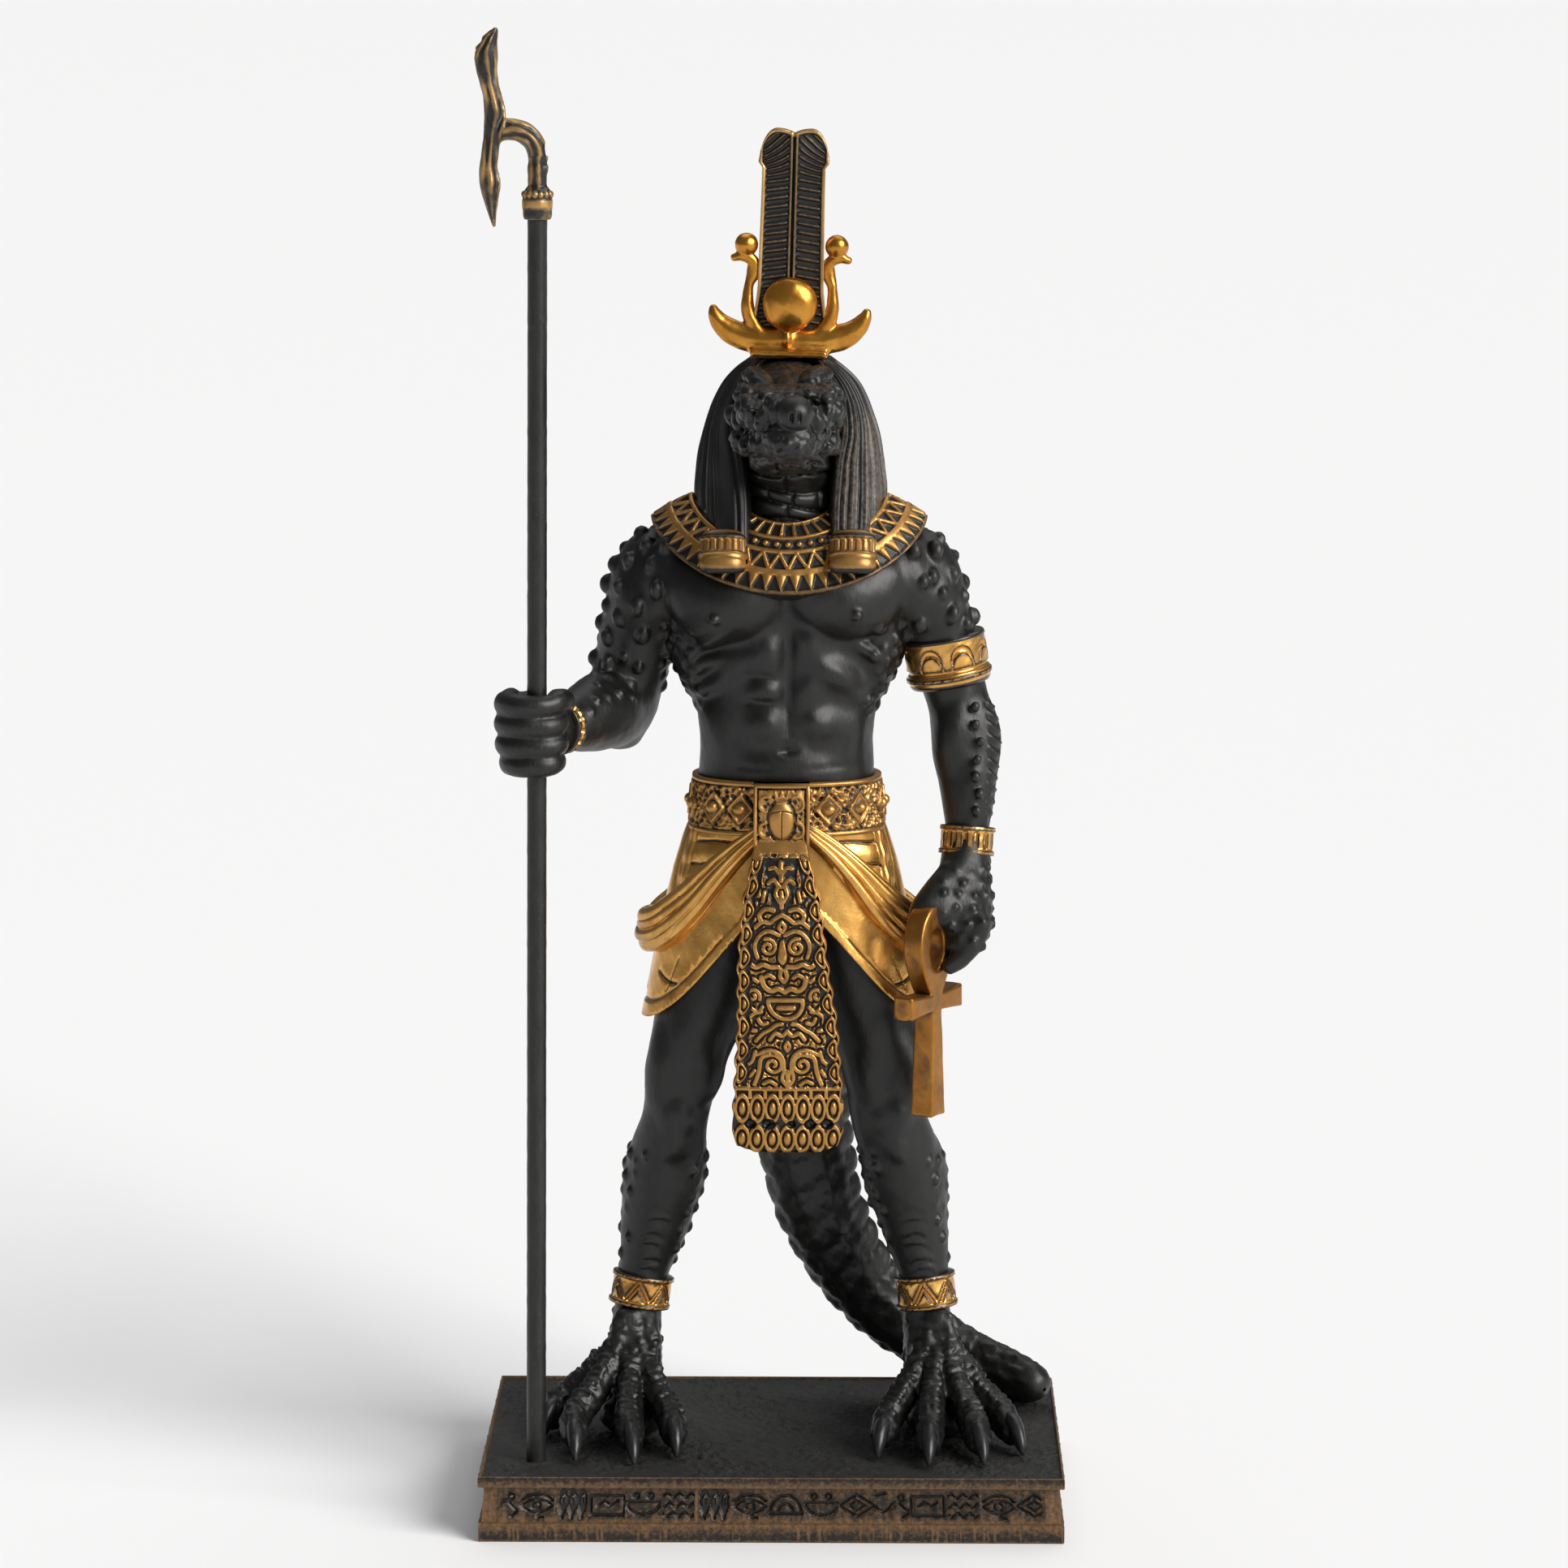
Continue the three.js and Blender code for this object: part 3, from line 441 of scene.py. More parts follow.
def skin_piece(name, points, quads, skin):
    """A skin piece whose highest edges carry a little worn grey."""
    return figure_piece(name, points, quads, skin, rub=(0.10 + 2.4 * hollows(points, quads, 4)).clip(0, 0.45))


# Curves and swept stations


def smooth_rows(rows, spacing):
    """A smooth curve through rows whose first three values are a place, one row each spacing."""
    rows = np.asarray(rows, float)
    padded = np.concatenate([[2 * rows[0] - rows[1]], rows, [2 * rows[-1] - rows[-2]]])
    length = np.linalg.norm(np.diff(rows[:, :3], axis=0), axis=1)
    out = []
    for i, part in enumerate(length):
        before, start, end, after = padded[i:i + 4]
        count = max(int(math.ceil(part / spacing)), 1)
        for t in np.arange(count) / count:
            bend = (2 * before - 5 * start + 4 * end - after) * t * t
            twist = (3 * start - before - 3 * end + after) * t ** 3
            out.append(0.5 * (2 * start + (end - before) * t + bend + twist))
    out = np.array(out + [rows[-1]])
    out[:, 3:] = out[:, 3:].clip(0.05)
    return out


def section_ways(rows, front):
    """Side, deep and forward directions along a swept path."""
    way = unit(np.gradient(rows[:, :3], axis=0))
    side = unit(np.cross(way, np.asarray(front, float)))
    return side, np.cross(side, way), way


def swept(rows, columns, spacing, front, power, relief):
    """Section loops round a path of rows [x, y, z, across, deep]."""
    rows = smooth_rows(rows, spacing)
    side, deep, _ = section_ways(rows, front)
    angle = np.arange(columns) / columns * 2 * math.pi
    size = squared_off(angle, power)
    lift = relief(path_lengths(rows)[:, None], angle[None, :])
    across_r = rows[:, 3, None] * size + lift
    deep_r = rows[:, 4, None] * size + lift
    spot = rows[:, None, :3] + side[:, None] * (across_r * np.cos(angle))[..., None]
    return spot + deep[:, None] * (deep_r * np.sin(angle))[..., None]


def turn_matrix(degrees):
    """Turn about X, then Y, then Z."""
    a, b, c = np.radians(degrees)
    about_x = np.array([[1, 0, 0], [0, math.cos(a), -math.sin(a)], [0, math.sin(a), math.cos(a)]])
    about_y = np.array([[math.cos(b), 0, math.sin(b)], [0, 1, 0], [-math.sin(b), 0, math.cos(b)]])
    about_z = np.array([[math.cos(c), -math.sin(c), 0], [math.sin(c), math.cos(c), 0], [0, 0, 1]])
    return about_z @ about_y @ about_x


class Clay:
    """A block of modelling clay: forms are pressed together softly and then meshed."""

    def __init__(self, low, high, step):
        self.low = np.array(low, np.float32)
        self.step = step
        self.axes = [np.arange(a, b, step, dtype=np.float32) for a, b in zip(low, high)]
        self.field = np.full([len(axis) for axis in self.axes], 6.0, np.float32)

    def part(self, low, high):
        """Slices of the block between two corners, and the open axes there."""
        slices = []
        for axis in range(3):
            first = int((low[axis] - self.low[axis]) / self.step)
            last = int((high[axis] - self.low[axis]) / self.step) + 2
            slices.append(slice(max(first, 0), max(min(last, len(self.axes[axis])), 0)))
        grids = np.ix_(*[self.axes[axis][slices[axis]] for axis in range(3)])
        return tuple(slices), grids

    def blend(self, slices, distance, soft):
        """Joins a distance field to the clay with a fillet about soft wide."""
        here = self.field[slices]
        if distance.size == 0:
            return
        joined = np.minimum(here, distance)
        if soft > 0:
            near = np.maximum(soft - np.abs(here - distance), 0.0) / soft
            joined = joined - near * near * soft * 0.25
        self.field[slices] = joined

    @staticmethod
    def egg(grids, centre, radii, ways):
        """Signed distance, near its surface, to an ellipsoid with the given axes."""
        dx, dy, dz = (grids[axis] - np.float32(centre[axis]) for axis in range(3))
        inner = 0.0
        outer = 0.0
        for radius, way in zip(radii, ways):
            reach = dx * np.float32(way[0]) + dy * np.float32(way[1]) + dz * np.float32(way[2])
            reach = reach / np.float32(radius)
            square = reach * reach
            inner = inner + square
            outer = outer + square / np.float32(radius * radius)
        inner = np.sqrt(inner)
        return inner * (inner - 1.0) / np.sqrt(outer).clip(1e-4)

    def press(self, centre, margin, radii, ways, soft):
        """Presses one egg on, within margin of its centre."""
        slices, grids = self.part(centre - margin, centre + margin)
        self.blend(slices, self.egg(grids, centre, radii, ways), soft)

    def muscle(self, centre, radii, turn=(0, 0, 0), soft=1.5):
        self.press(np.asarray(centre, float), max(radii) + soft + 1.0, radii, turn_matrix(turn).T, soft)

    def muscles(self, rows, side=1, middle=0.0):
        """Muscles in rows: centre, radii, softness and any turns; side mirrors them about the middle."""
        for x, y, z, across, deep, tall, soft, *turn in rows:
            about_x, about_y, about_z = turn or (0, 0, 0)
            self.muscle((middle + side * x, y, z), (across, deep, tall),
                        (about_x, side * about_y, side * about_z), soft)

    def limb(self, rows, soft=2.0, front=(0, -1, 0), spacing=None):
        """A limb through rows [x, y, z, across, deep]."""
        rows = np.asarray(rows, float)
        gap = spacing or max(rows[:, 3:].min() * 0.22, self.step * 1.2)
        path = smooth_rows(rows, gap)
        side, deep, way = section_ways(path, front)
        margin = path[:, 3:].max() + soft + 1.0
        slices, _ = self.part(path[:, :3].min(0) - margin, path[:, :3].max(0) + margin)
        local = np.full(self.field[slices].shape, 6.0, np.float32)
        for i, row in enumerate(path):
            thick = max(min(row[3], row[4]) * 0.8, gap * 1.1)
            reach = max(row[3], row[4]) + soft + 0.8
            inner, spots = self.part(row[:3] - reach, row[:3] + reach)
            place = tuple(slice(max(a.start - b.start, 0), max(a.stop - b.start, 0))
                          for a, b in zip(inner, slices))
            form = self.egg(spots, row[:3], (row[3], row[4], thick), (side[i], deep[i], way[i]))
            if form.size and local[place].shape == form.shape:
                local[place] = np.minimum(local[place], form)
        self.blend(slices, local, soft)

    def spots(self, low, high, where, spacing, seed):
        """Places on the surface, at least spacing apart, where the test holds, with their outward ways."""
        slices, grids = self.part(low, high)
        block = self.field[slices]
        near = np.argwhere(np.abs(block) < self.step * 0.7)
        places = np.stack([grids[axis].ravel()[near[:, axis]] for axis in range(3)], -1)
        ways = np.stack([slope[tuple(near.T)] for slope in np.gradient(block)], -1)
        keep = where(*places.T) & (np.abs(ways).sum(-1) > 0)
        places, ways = places[keep], ways[keep]
        taken = {}
        for index in np.random.default_rng(seed).permutation(len(places)):
            place = places[index]
            cell = tuple((place // spacing).astype(int))
            around = (taken.get((cell[0] + a, cell[1] + b, cell[2] + c))
                      for a, b, c in itertools.product((-1, 0, 1), repeat=3))
            if all(other is None or np.linalg.norm(place - other) > spacing for other in around):
                taken[cell] = place
                yield place, ways[index] / np.linalg.norm(ways[index])

    def studs(self, low, high, where, spacing, radii, seed):
        """Scatters studs of three radii, the last standing out from the surface."""
        sizes = np.random.default_rng(seed + 100)
        for place, way in list(self.spots(low, high, where, spacing, seed)):
            side = np.cross(way, (0.13, 0.21, 1.0))
            side /= np.linalg.norm(side)
            scale = sizes.uniform(0.72, 1.22)
            ways = (np.cross(side, way), side, way)
            self.press(place - 0.15 * way, 4, [scale * r for r in radii], ways, 0.5)

    def cut(self, distance):
        """Takes away where distance, over the open axes of the whole block, is negative."""
        self.field = np.maximum(self.field, -distance(*np.ix_(*self.axes)).astype(np.float32))

    def trim_below(self, height):
        self.cut(lambda x, y, z: z - height)

    def emboss(self, height, band=1.6):
        """Raises the surface by height(points), worked out only near it."""
        spots = np.nonzero(np.abs(self.field) < band)
        points = np.stack([axis[i] for axis, i in zip(self.axes, spots)], -1)
        self.field[spots] -= height(points).astype(np.float32)

    def mesh(self):
        self.field[[0, -1], :, :] = 1.0
        self.field[:, [0, -1], :] = 1.0
        self.field[:, :, [0, -1]] = 1.0
        grid = openvdb.FloatGrid(background=6.0)
        grid.copyFromArray(np.ascontiguousarray(self.field), tolerance=0.0)
        points, quads = grid.convertToQuads(isovalue=0.0)
        return points * self.step + self.low, quads.astype(np.int64)


# Skin: trunk and arms

LEFT, RIGHT = -1, 1
SIDE_NAME = {LEFT: "left", RIGHT: "right"}
UP = (0, 0, 1)
# Rows of a finger and of the thumb, beside the rod's middle
FINGER = [(-5.2, 4.5, 0, 2.2, 2.5), (-6, -0.4, 0, 2.2, 2.4), (-3, -3.9, 0, 2.1, 2.3),
          (1.8, -3.9, 0.1, 2.1, 2.2), (4.2, -1.4, 0.4, 2, 2.1), (3.6, 2.6, 0.6, 1.9, 1.9)]
THUMB = [(3.2, 8, 147.5, 2.8, 3), (5, 3.5, 151, 2.3, 2.5), (4.8, -0.6, 152, 1.9, 2.1),
         (3.6, -3, 152.2, 1.4, 1.6)]
TRUNK = [
    [0, 4, 112, 18.5, 12], [0, 3.6, 122, 18, 12], [0, 3.2, 128, 17.8, 11.6], [0, 3, 135, 17.4, 11.0],
    [0, 3, 142, 17.2, 10.6], [0, 3.2, 150, 18.2, 11.2], [0, 3.6, 158, 20.0, 12.4], [0, 4, 166, 21.6, 13.4],
    [0, 4.5, 175, 22.0, 13.8], [0, 5, 182, 17.5, 11.5], [0, 5, 188, 11, 9.5],
]
# Front way and rows of the staff arm's two parts and of the hanging arm
ARMS = [
    ((0, -1, 0), [[-25, 5, 176, 6.8, 8.2], [-28.6, 5.5, 166, 7.4, 8.4], [-30.6, 7, 156, 7.4, 7.8],
                  [-32.6, 9.5, 147, 6.8, 7.4], [-33.4, 10.5, 140.5, 4.6, 4.6]]),
    (UP, [[-33, 12, 146, 4.8, 5], [-34, 7, 146, 7.3, 7.4], [-37, -1, 146, 7.6, 7.4],
          [-40.5, -9, 145.6, 6.2, 6.0], [-43.6, -15.5, 145.5, 4.4, 4.4], [-45.5, -19.5, 145.5, 4.5, 5.2]]),
    ((0, -1, 0), [[25, 5, 176, 6.8, 8.2], [29.4, 5, 165, 7.1, 8.0], [31.9, 5.4, 155, 6.5, 7.0],
                  [34.2, 5.4, 147, 6.2, 6.6], [35.8, 4.2, 139, 6.6, 6.6], [36.0, 2, 131, 5.7, 5.9],
                  [36.0, 0, 122, 4.2, 4.4], [35.8, -1.5, 117, 4.3, 4.7]]),
]


def staff_hand(clay):
    """Closed fist round the rod: palm, four stacked fingers and the thumb."""
    rod_x = staff_place(0.0, PLINTH_H + 145.3)[0] - FIGURE_X
    clay.muscle((rod_x - 1.2, STAFF_Y + 4.4, 145.2), (6.6, 5, 8), soft=2)
    for height, reach in ((151.2, 1.0), (147.2, 1.0), (143.2, 1.0), (139.5, 0.88)):
        clay.limb([[rod_x + x * reach, STAFF_Y + y, height + z, across, deep]
                   for x, y, z, across, deep in FINGER], 0.5, UP)
    clay.limb([[rod_x + x, STAFF_Y + y, *rest] for x, y, *rest in THUMB], 0.8, UP)


def hanging_hand(clay):
    """Fist closed round the loop of the ankh, its back towards the front."""
    clay.limb([[35.8, -1.5, 118, 4.3, 4.7], [35.2, -4, 113, 5.2, 5.8], [34.8, -6.2, 108, 6.0, 7],
               [35.4, -7.4, 103.5, 4.8, 7.0], [34.0, -8.0, 100.6, 3.6, 6.4]], 2.0)
    clay.limb([[34.6, -5, 116, 2.9, 2.9], [31.0, -9, 112.6, 3.1, 3.1], [27.6, -11.8, 109.4, 2.7, 2.7],
               [25.8, -12.0, 106.6, 2.0, 2.1]], 1.8)
    clay.muscle((30.6, -10.5, 108.5), (3.4, 4.0, 4.2), (0, 30, 0), 2.0)
    for index in range(4):
        y = -13.2 + index * 3.4
        clay.muscle((38.2, y + 0.8, 105.6), (2.3, 2.0, 2.7), soft=0.8)
        clay.limb([[38.0, y + 0.8, 105, 2.3, 1.9], [36.4, y + 0.3, 101.6, 2.2, 1.85],
                   [34.2, y, 98.9, 2.0, 1.75], [32.2, y, 97.4, 1.6, 1.6]], 0.7)


def upper_studs(clay):
    """Horny studs on the shoulders, flanks, elbow and hanging hand, and a row up its forearm."""
    clay.studs((-58, -12, 150), (48, 20, 188), lambda x, y, z:
               between(np.abs(x), 25.4 - 0.22 * (z - 168), 42) & between(z, np.where(x > 0, 163.5, 154), 184),
               4.8, (1.8, 1.25, 1.55), 1)
    clay.studs((-30, -14, 140), (30, 16, 168), lambda x, y, z:
               between(np.abs(x), 16.4 + 0.11 * (z - 150), 24.5) & between(z, 146, 164) & (np.abs(y - 1) < 12),
               2.2, (1.15, 0.95, 0.75), 2)
    clay.studs((-42, -14, 146), (-28, 18, 158), lambda x, y, z: between(x, -38, -30) & between(z, 148, 157),
               3.4, (1.1, 0.9, 0.8), 3)
    clay.studs((30, -16, 98), (46, 6, 118), lambda x, y, z: (x > 31) & between(z, 101, 117) & (y < 2),
               2.5, (0.85, 0.7, 0.7), 4)
    for step in range(7):
        height = 127.0 + 3.4 * step
        turn = -1.25 + 0.10 * math.sin(step * 2.0)
        reach = 6.6 - 0.3 * abs(step - 3)
        middle_y = 1.2 + 0.14 * (height - 130)
        clay.muscle((35.9 + reach * math.cos(turn), middle_y + reach * math.sin(turn), height),
                    (0.95, 0.95, 1.15), soft=0.4)


def upper_relief(points):
    """Faint unevenness of modelled skin, and slanting folds down the outside of the hanging forearm."""
    x, y, z = points.T
    arc = (np.arctan2(y - (1.2 + 0.17 * (z - 130).clip(0, 26)), x - 36.0) + 0.85) * 6.4
    on = window(z, 124, 149.5, 2.0) * (x > 28) * window(arc, 0.2, 5.4, 0.7)
    fold = repeat(z + 0.95 * arc - 0.09 * arc * arc, 2.35)
    height = 0.16 * waves(points, 6.0, 0.7) + 0.07 * waves(points, 2.2, 2.1) + 0.03 * waves(points, 0.9, 1.1)
    return height + on * (0.75 * ease(1 - np.abs(fold) / 1.05) - 0.3)


BELLY = [
    # middle x and z, half sizes, turn, rise
    (9.6, 154.4, 5.2, 2.7, -32, 2.1), (4.4, 160.6, 3.2, 2.8, -52, 1.3), (4.4, 151.0, 2.7, 3.2, 0, 1.2),
    (6.4, 144.6, 3.8, 3.1, 0, 1.7), (-4.4, 158.4, 3.3, 4.0, 0, 1.7), (-4.5, 151.2, 3.2, 2.2, 0, 1.5),
    (-10.8, 156.4, 4.4, 2.6, 32, 1.1), (-4.7, 144.6, 3.4, 3.3, 0, 1.6), (-15.4, 161.0, 3.4, 1.5, 32, 1.2),
    (-16.0, 156.6, 3.4, 1.5, 28, 1.2), (-15.6, 151.6, 3.2, 1.6, 26, 1.0), (15.6, 159.0, 3.4, 1.5, -32, 1.2),
    (15.8, 149.0, 3.4, 1.8, -26, 1.0), (-13.2, 142.4, 3.8, 6.2, 4, 1.2), (14.0, 142.0, 3.8, 6.2, -4, 1.2),
    (0.0, 135.4, 8.2, 3.2, 0, 0.8),
]


def belly_lines(points):
    """Modelling of the chest and belly: middle groove, ribs, belly muscles and navel."""
    x, z = points[:, 0] - 0.4, points[:, 2]
    front = ease((1 - points[:, 1]) / 6)
    u = np.abs(x)
    total = -1.15 * bell(x / 1.6) * window(z, 141, 169, 8)
    for middle_x, middle_z, half_x, half_z, degrees, rise in BELLY:
        turn = math.radians(degrees)
        across, up = x - middle_x, z - middle_z
        along = (across * math.cos(turn) + up * math.sin(turn)) / half_x
        over = (up * math.cos(turn) - across * math.sin(turn)) / half_z
        total = total + rise * np.exp(-(along * along + over * over) ** 1.3)
    crease = 0.45 * bell((z - 148.8 + 0.05 * x) / 0.7) * window(x, -9.5, -1.5, 2)
    crease = crease + 0.35 * bell((z - 153.6 + 0.1 * x) / 0.8) * window(x, -9, -1.5, 2)
    crease = crease + 0.20 * bell((z - 135.6 - 0.05 * u) / 0.6) * window(u, 2, 13, 3)
    navel = 0.6 * np.exp(-((x / 1.3) ** 2 + ((z - 139.3) / 0.5) ** 2))
    lip = 0.3 * bell((np.hypot(x / 1.5, z - 139.5) - 1.8) / 0.9)
    return front * (total - crease + lip - navel)


def make_skin(name, clay, skin):
    return skin_piece(name, *clay.mesh(), skin)


def trunk_and_arms(skin):
    clay = Clay((-58, -31, 95), (48, 23, 197), 0.48)
    clay.limb(TRUNK, 0, spacing=1.0)
    for side, breast_z in ((LEFT, 168.9), (RIGHT, 170.0)):
        clay.muscles([
            (10.9, -6.2, breast_z, 11.4, 8.0, 8.0, 1.6, 8, 12, 10),
            (17.2, -4.8, breast_z + 2.2, 7.4, 5.8, 6.4, 2.6, 0, -18, 10),
            (3.6, -6.8, 173.6, 4.2, 5.6, 5.0, 2.4), (14.0, -13.6, breast_z - 2.8, 1.0, 0.9, 1.0, 0.8),
            (19.0, 3.5, 160, 4.4, 8.8, 12, 2.6, 0, 12, 0), (14, 8, 182, 9.5, 7.5, 5.4, 2.5, 0, 24, 0),
            (10, 13.0, 172, 9.5, 5.0, 11, 2.5, 0, 10, 0), (9, 14.4, 180, 7.0, 2.6, 6.0, 1.6, 0, -18, 0),
            (4.6, 11.6, 146, 3.4, 3.4, 17, 2.0),
        ], side)
    for front, rows in ARMS:
        clay.limb(rows, 2.2, front, spacing=1.0)
    for side in (LEFT, RIGHT):
        clay.muscles([
            (26.6, 4.6, 170.6, 8.2, 9.4, 10.8, 2.2, 0, -8, 0),
            (23.8, -2.2, 173.0, 4.8, 4.8, 9, 1.6, 0, -16, 0),
            (29.6, 8.6, 167.4, 5.0, 4.6, 6.4, 1.8, 0, -6, 0),
            (28.8, 0.0, 168.2, 5.0, 4.6, 6.2, 1.8, 0, -8, 0),
        ], side)
    clay.muscles([
        (-36, 1, 149.0, 4.4, 8, 4.4, 2.4, 0, 0, -28), (-38.5, -4.5, 143.2, 3.8, 7, 3.4, 2.0, 0, 0, -30),
        (37.8, 3.4, 141.4, 4.2, 4.6, 7.4, 2.0, 0, -4, 0), (33.2, 1.2, 140.5, 3.8, 4.2, 7.6, 2.0, 0, 4, 0),
    ])
    staff_hand(clay)
    hanging_hand(clay)
    clay.emboss(belly_lines, 3.4)
    upper_studs(clay)
    clay.emboss(upper_relief)
    make_skin("trunk_and_arms", clay, skin)


# Legs and feet

LEFT_LEG = [
    [-10, 4, 106, 11, 12], [-14, 2.5, 93, 10.2, 11.4], [-18.4, 1.5, 81, 8.4, 9.8],
    [-21, 1, 71, 7.2, 8.2], [-22.2, 0.8, 64, 6.6, 7.2], [-23.6, 3, 57, 7.4, 7.8],
    [-24.7, 5, 50.5, 8.0, 8.6], [-26.6, 5.5, 41, 6.9, 7.2], [-28.4, 5, 33, 5.2, 5.8],
    [-29.5, 4.5, 27, 4.8, 5.2], [-30.4, 4, 20, 4.9, 5.8], [-31, 2.4, 13, 5.8, 7.2],
    [-31, 2, 6, 5.2, 7.0], [-31, 2, -1, 4.8, 6.2],
]
RIGHT_LEG = [
    [10, 4, 106, 11, 12], [14.5, 2.5, 93, 10.2, 11.4], [18, 1.5, 81, 8.8, 9.8],
    [19.8, 1, 71, 8.0, 8.2], [20.3, 0.8, 64.5, 7.4, 7.4], [22.5, 3, 57, 7.8, 8.0],
    [23.8, 5, 51, 8.2, 8.6], [26, 5.5, 40, 6.6, 7.0], [27.6, 5, 31.5, 5.1, 5.6],
    [28.1, 4.5, 26, 4.8, 5.2], [28.8, 4, 19, 5.0, 5.8], [29.6, 1.8, 12, 5.8, 7.4],
    [29.8, 1, 6, 5.4, 7.4], [29.8, 1, -1, 5.0, 6.6],
]
# Knuckle and claw tip of each toe, in plan
LEFT_TOES = [(-42, -14.4, -41.4, -26.4), (-31.2, -16, -29.7, -28.5), (-22.8, -14, -21.4, -23.6),
             (-45.2, -2.6, -48.6, -10)]
RIGHT_TOES = [(20.6, -13.6, 18.4, -23.4), (28.9, -17.6, 28.5, -29), (37.4, -17.4, 39.4, -28.2),
              (43, -11, 47.2, -20.6)]
TOES = ((-31.4, LEFT_TOES), (30.4, RIGHT_TOES))


def shin_axis(x, z):
    """Middle x of the shin that a place belongs to."""
    return np.where(x < 0, -24.7 - 0.21 * (50 - z), 24.4 + 0.18 * (50 - z))


def toe_rows(heel_x, knuckle_x, knuckle_y, tip_x, tip_y):
    """Rows of a toe from the front of the ankle to its last knuckle, and of its claw."""
    start_x = heel_x + (knuckle_x - heel_x) * 0.2
    start_y = -1.8
    upper_x = heel_x + (knuckle_x - heel_x) * 0.1
    middle = (start_x + (knuckle_x - start_x) * 0.55, start_y + (knuckle_y - start_y) * 0.55)

    def beyond(share, *rest):
        return [knuckle_x + (tip_x - knuckle_x) * share, knuckle_y + (tip_y - knuckle_y) * share, *rest]

    toe = [[upper_x, -0.6, 23, 1.5, 1.6], [start_x, start_y, 16.4, 2.3, 2.6], [*middle, 9.6, 2.5, 2.9],
           [knuckle_x, knuckle_y, 5.4, 2.8, 3.2], beyond(0.34, 4.2, 2.75, 3.1), beyond(0.55, 3.3, 2.3, 2.6)]
    claw = [beyond(0.34, 5.6, 1.5, 1.7), beyond(0.52, 5.3, 1.65, 2.1), beyond(0.68, 4.3, 1.6, 2.1),
            beyond(0.84, 2.8, 1.3, 1.7), beyond(0.95, 1.4, 0.85, 1.05), beyond(1.0, 0.5, 0.45, 0.5)]
    return toe, claw


def toe_scutes(clay, toe):
    """A ladder of short horny plates along the top of a toe."""
    path = smooth_rows(toe[:-1], 0.2)
    along = path_lengths(path)
    way = section_ways(path, UP)[2]
    for station in np.arange(1.0, along[-1] - 1.4, 1.62):
        index = int(np.searchsorted(along, station))
        row, forward = path[index], way[index]
        up = np.array([0, 0, 1.0]) - forward[2] * forward
        up /= np.linalg.norm(up)
        clay.press(row[:3] + up * (row[4] - 0.45), 4.5, (row[3] * 0.8, 0.72, 0.85),
                   (np.cross(forward, up), forward, up), 0.3)


def all_toes():
    return [toe_rows(heel_x, *toe) for heel_x, toes in TOES for toe in toes]


def leg_studs(clay):
    """Studs down the outer and inner edges of the shins, and on the ankles."""
    def shin(x, y, z):
        axis = shin_axis(x, z)
        away = (x - axis) * np.sign(axis)
        return ((away > 4.8) | (away < -5.6)) & between(z, 32, 58) & (y < 6)

    def ankle(x, y, z):
        return (np.abs(x - np.where(x < 0, -30.6, 29.4)) > 3.4) & between(z, 14, 24) & (y < 6)

    clay.studs((-40, -8, 30), (40, 8, 60), shin, 3.4, (1.1, 0.9, 0.7), 5)
    clay.studs((-40, -8, 12), (40, 8, 26), ankle, 2.9, (0.9, 0.8, 0.55), 6)


def leg_relief(points):
    """Uneven skin, scales on the feet and overlapping folds down the shins."""
    x, y, z = points.T
    height = 0.14 * waves(points, 6.0, 1.3) + 0.06 * waves(points, 2.0, 0.4) + 0.03 * waves(points, 0.9, 1.4)
    foot = window(z, -2, 24, 4)
    near, second = pebbles(points * np.array([1.0, 1.0, 1.3]), 2.1, 4)
    height += foot * (0.26 * dome(near, 1.25) - 0.12 * (1 - ease((second - near) / 0.4)))
    arc = x - shin_axis(x, z) + 0.5 * np.sin(z * 0.7)
    row = (z + 0.20 * arc * arc + 0.4 * np.sin(z * 1.3)) / 2.7
    saw = row - np.floor(row)
    front = window(arc, -3.4, 3.4, 1.6) * (y < 2) * window(z, 26, 48, 6)
    return height + front * 0.34 * (ease((1 - saw) / 0.9) * ease(saw / 0.2) - 0.4)


def legs_and_feet(skin):
    clay = Clay((-58, -31, -1.5), (51, 24, 112), 0.48)
    for side, rows in ((LEFT, LEFT_LEG), (RIGHT, RIGHT_LEG)):
        clay.limb(rows, 0, spacing=1.2)
        clay.muscles([
            (21.3, -4.6, 65.4, 3.5, 2.8, 3.8, 2.0), (22.0, -4.0, 59.8, 1.9, 2.4, 3.6, 1.8, 0, -8, 0),
            (16.6, -3.2, 73.5, 4.0, 4.4, 6.6, 2.2, 0, -14, 0), (24.2, -2.6, 75, 3.4, 4.2, 8.2, 2.4, 0, -8, 0),
            (19.0, -3.8, 81, 4.4, 4.0, 8.6, 2.4, 0, -12, 0), (21.6, 7.0, 52, 4.0, 5.0, 8.6, 3.0, 0, -12, 0),
            (27.6, 7.0, 51.5, 3.8, 4.6, 8.6, 3.0, 0, -12, 0), (31, 8.5, 5, 5.0, 5.8, 5.6, 3.0),
            (30.8, -4, 3.4, 6.6, 7.0, 4.2, 2.0),
        ], side)
    for toe, _ in all_toes():
        clay.limb(toe, 1.0, UP, spacing=0.45)
    for toe, _ in all_toes():
        toe_scutes(clay, toe)
    leg_studs(clay)
    clay.emboss(leg_relief)
    clay.trim_below(0.02)
    make_skin("legs_and_feet", clay, skin)


def claws(horn):
    clay = Clay((-54, -31, -0.6), (51, 6, 9), 0.35)
    for _, claw in all_toes():
        clay.limb(claw, 0.2, UP, spacing=0.4)
    clay.trim_below(0.03)
    points, quads = clay.mesh()
    figure_piece("claws", points, quads, horn, rub=ease((3.2 - points[:, 2]) / 3.0) * 0.4)


# Tail

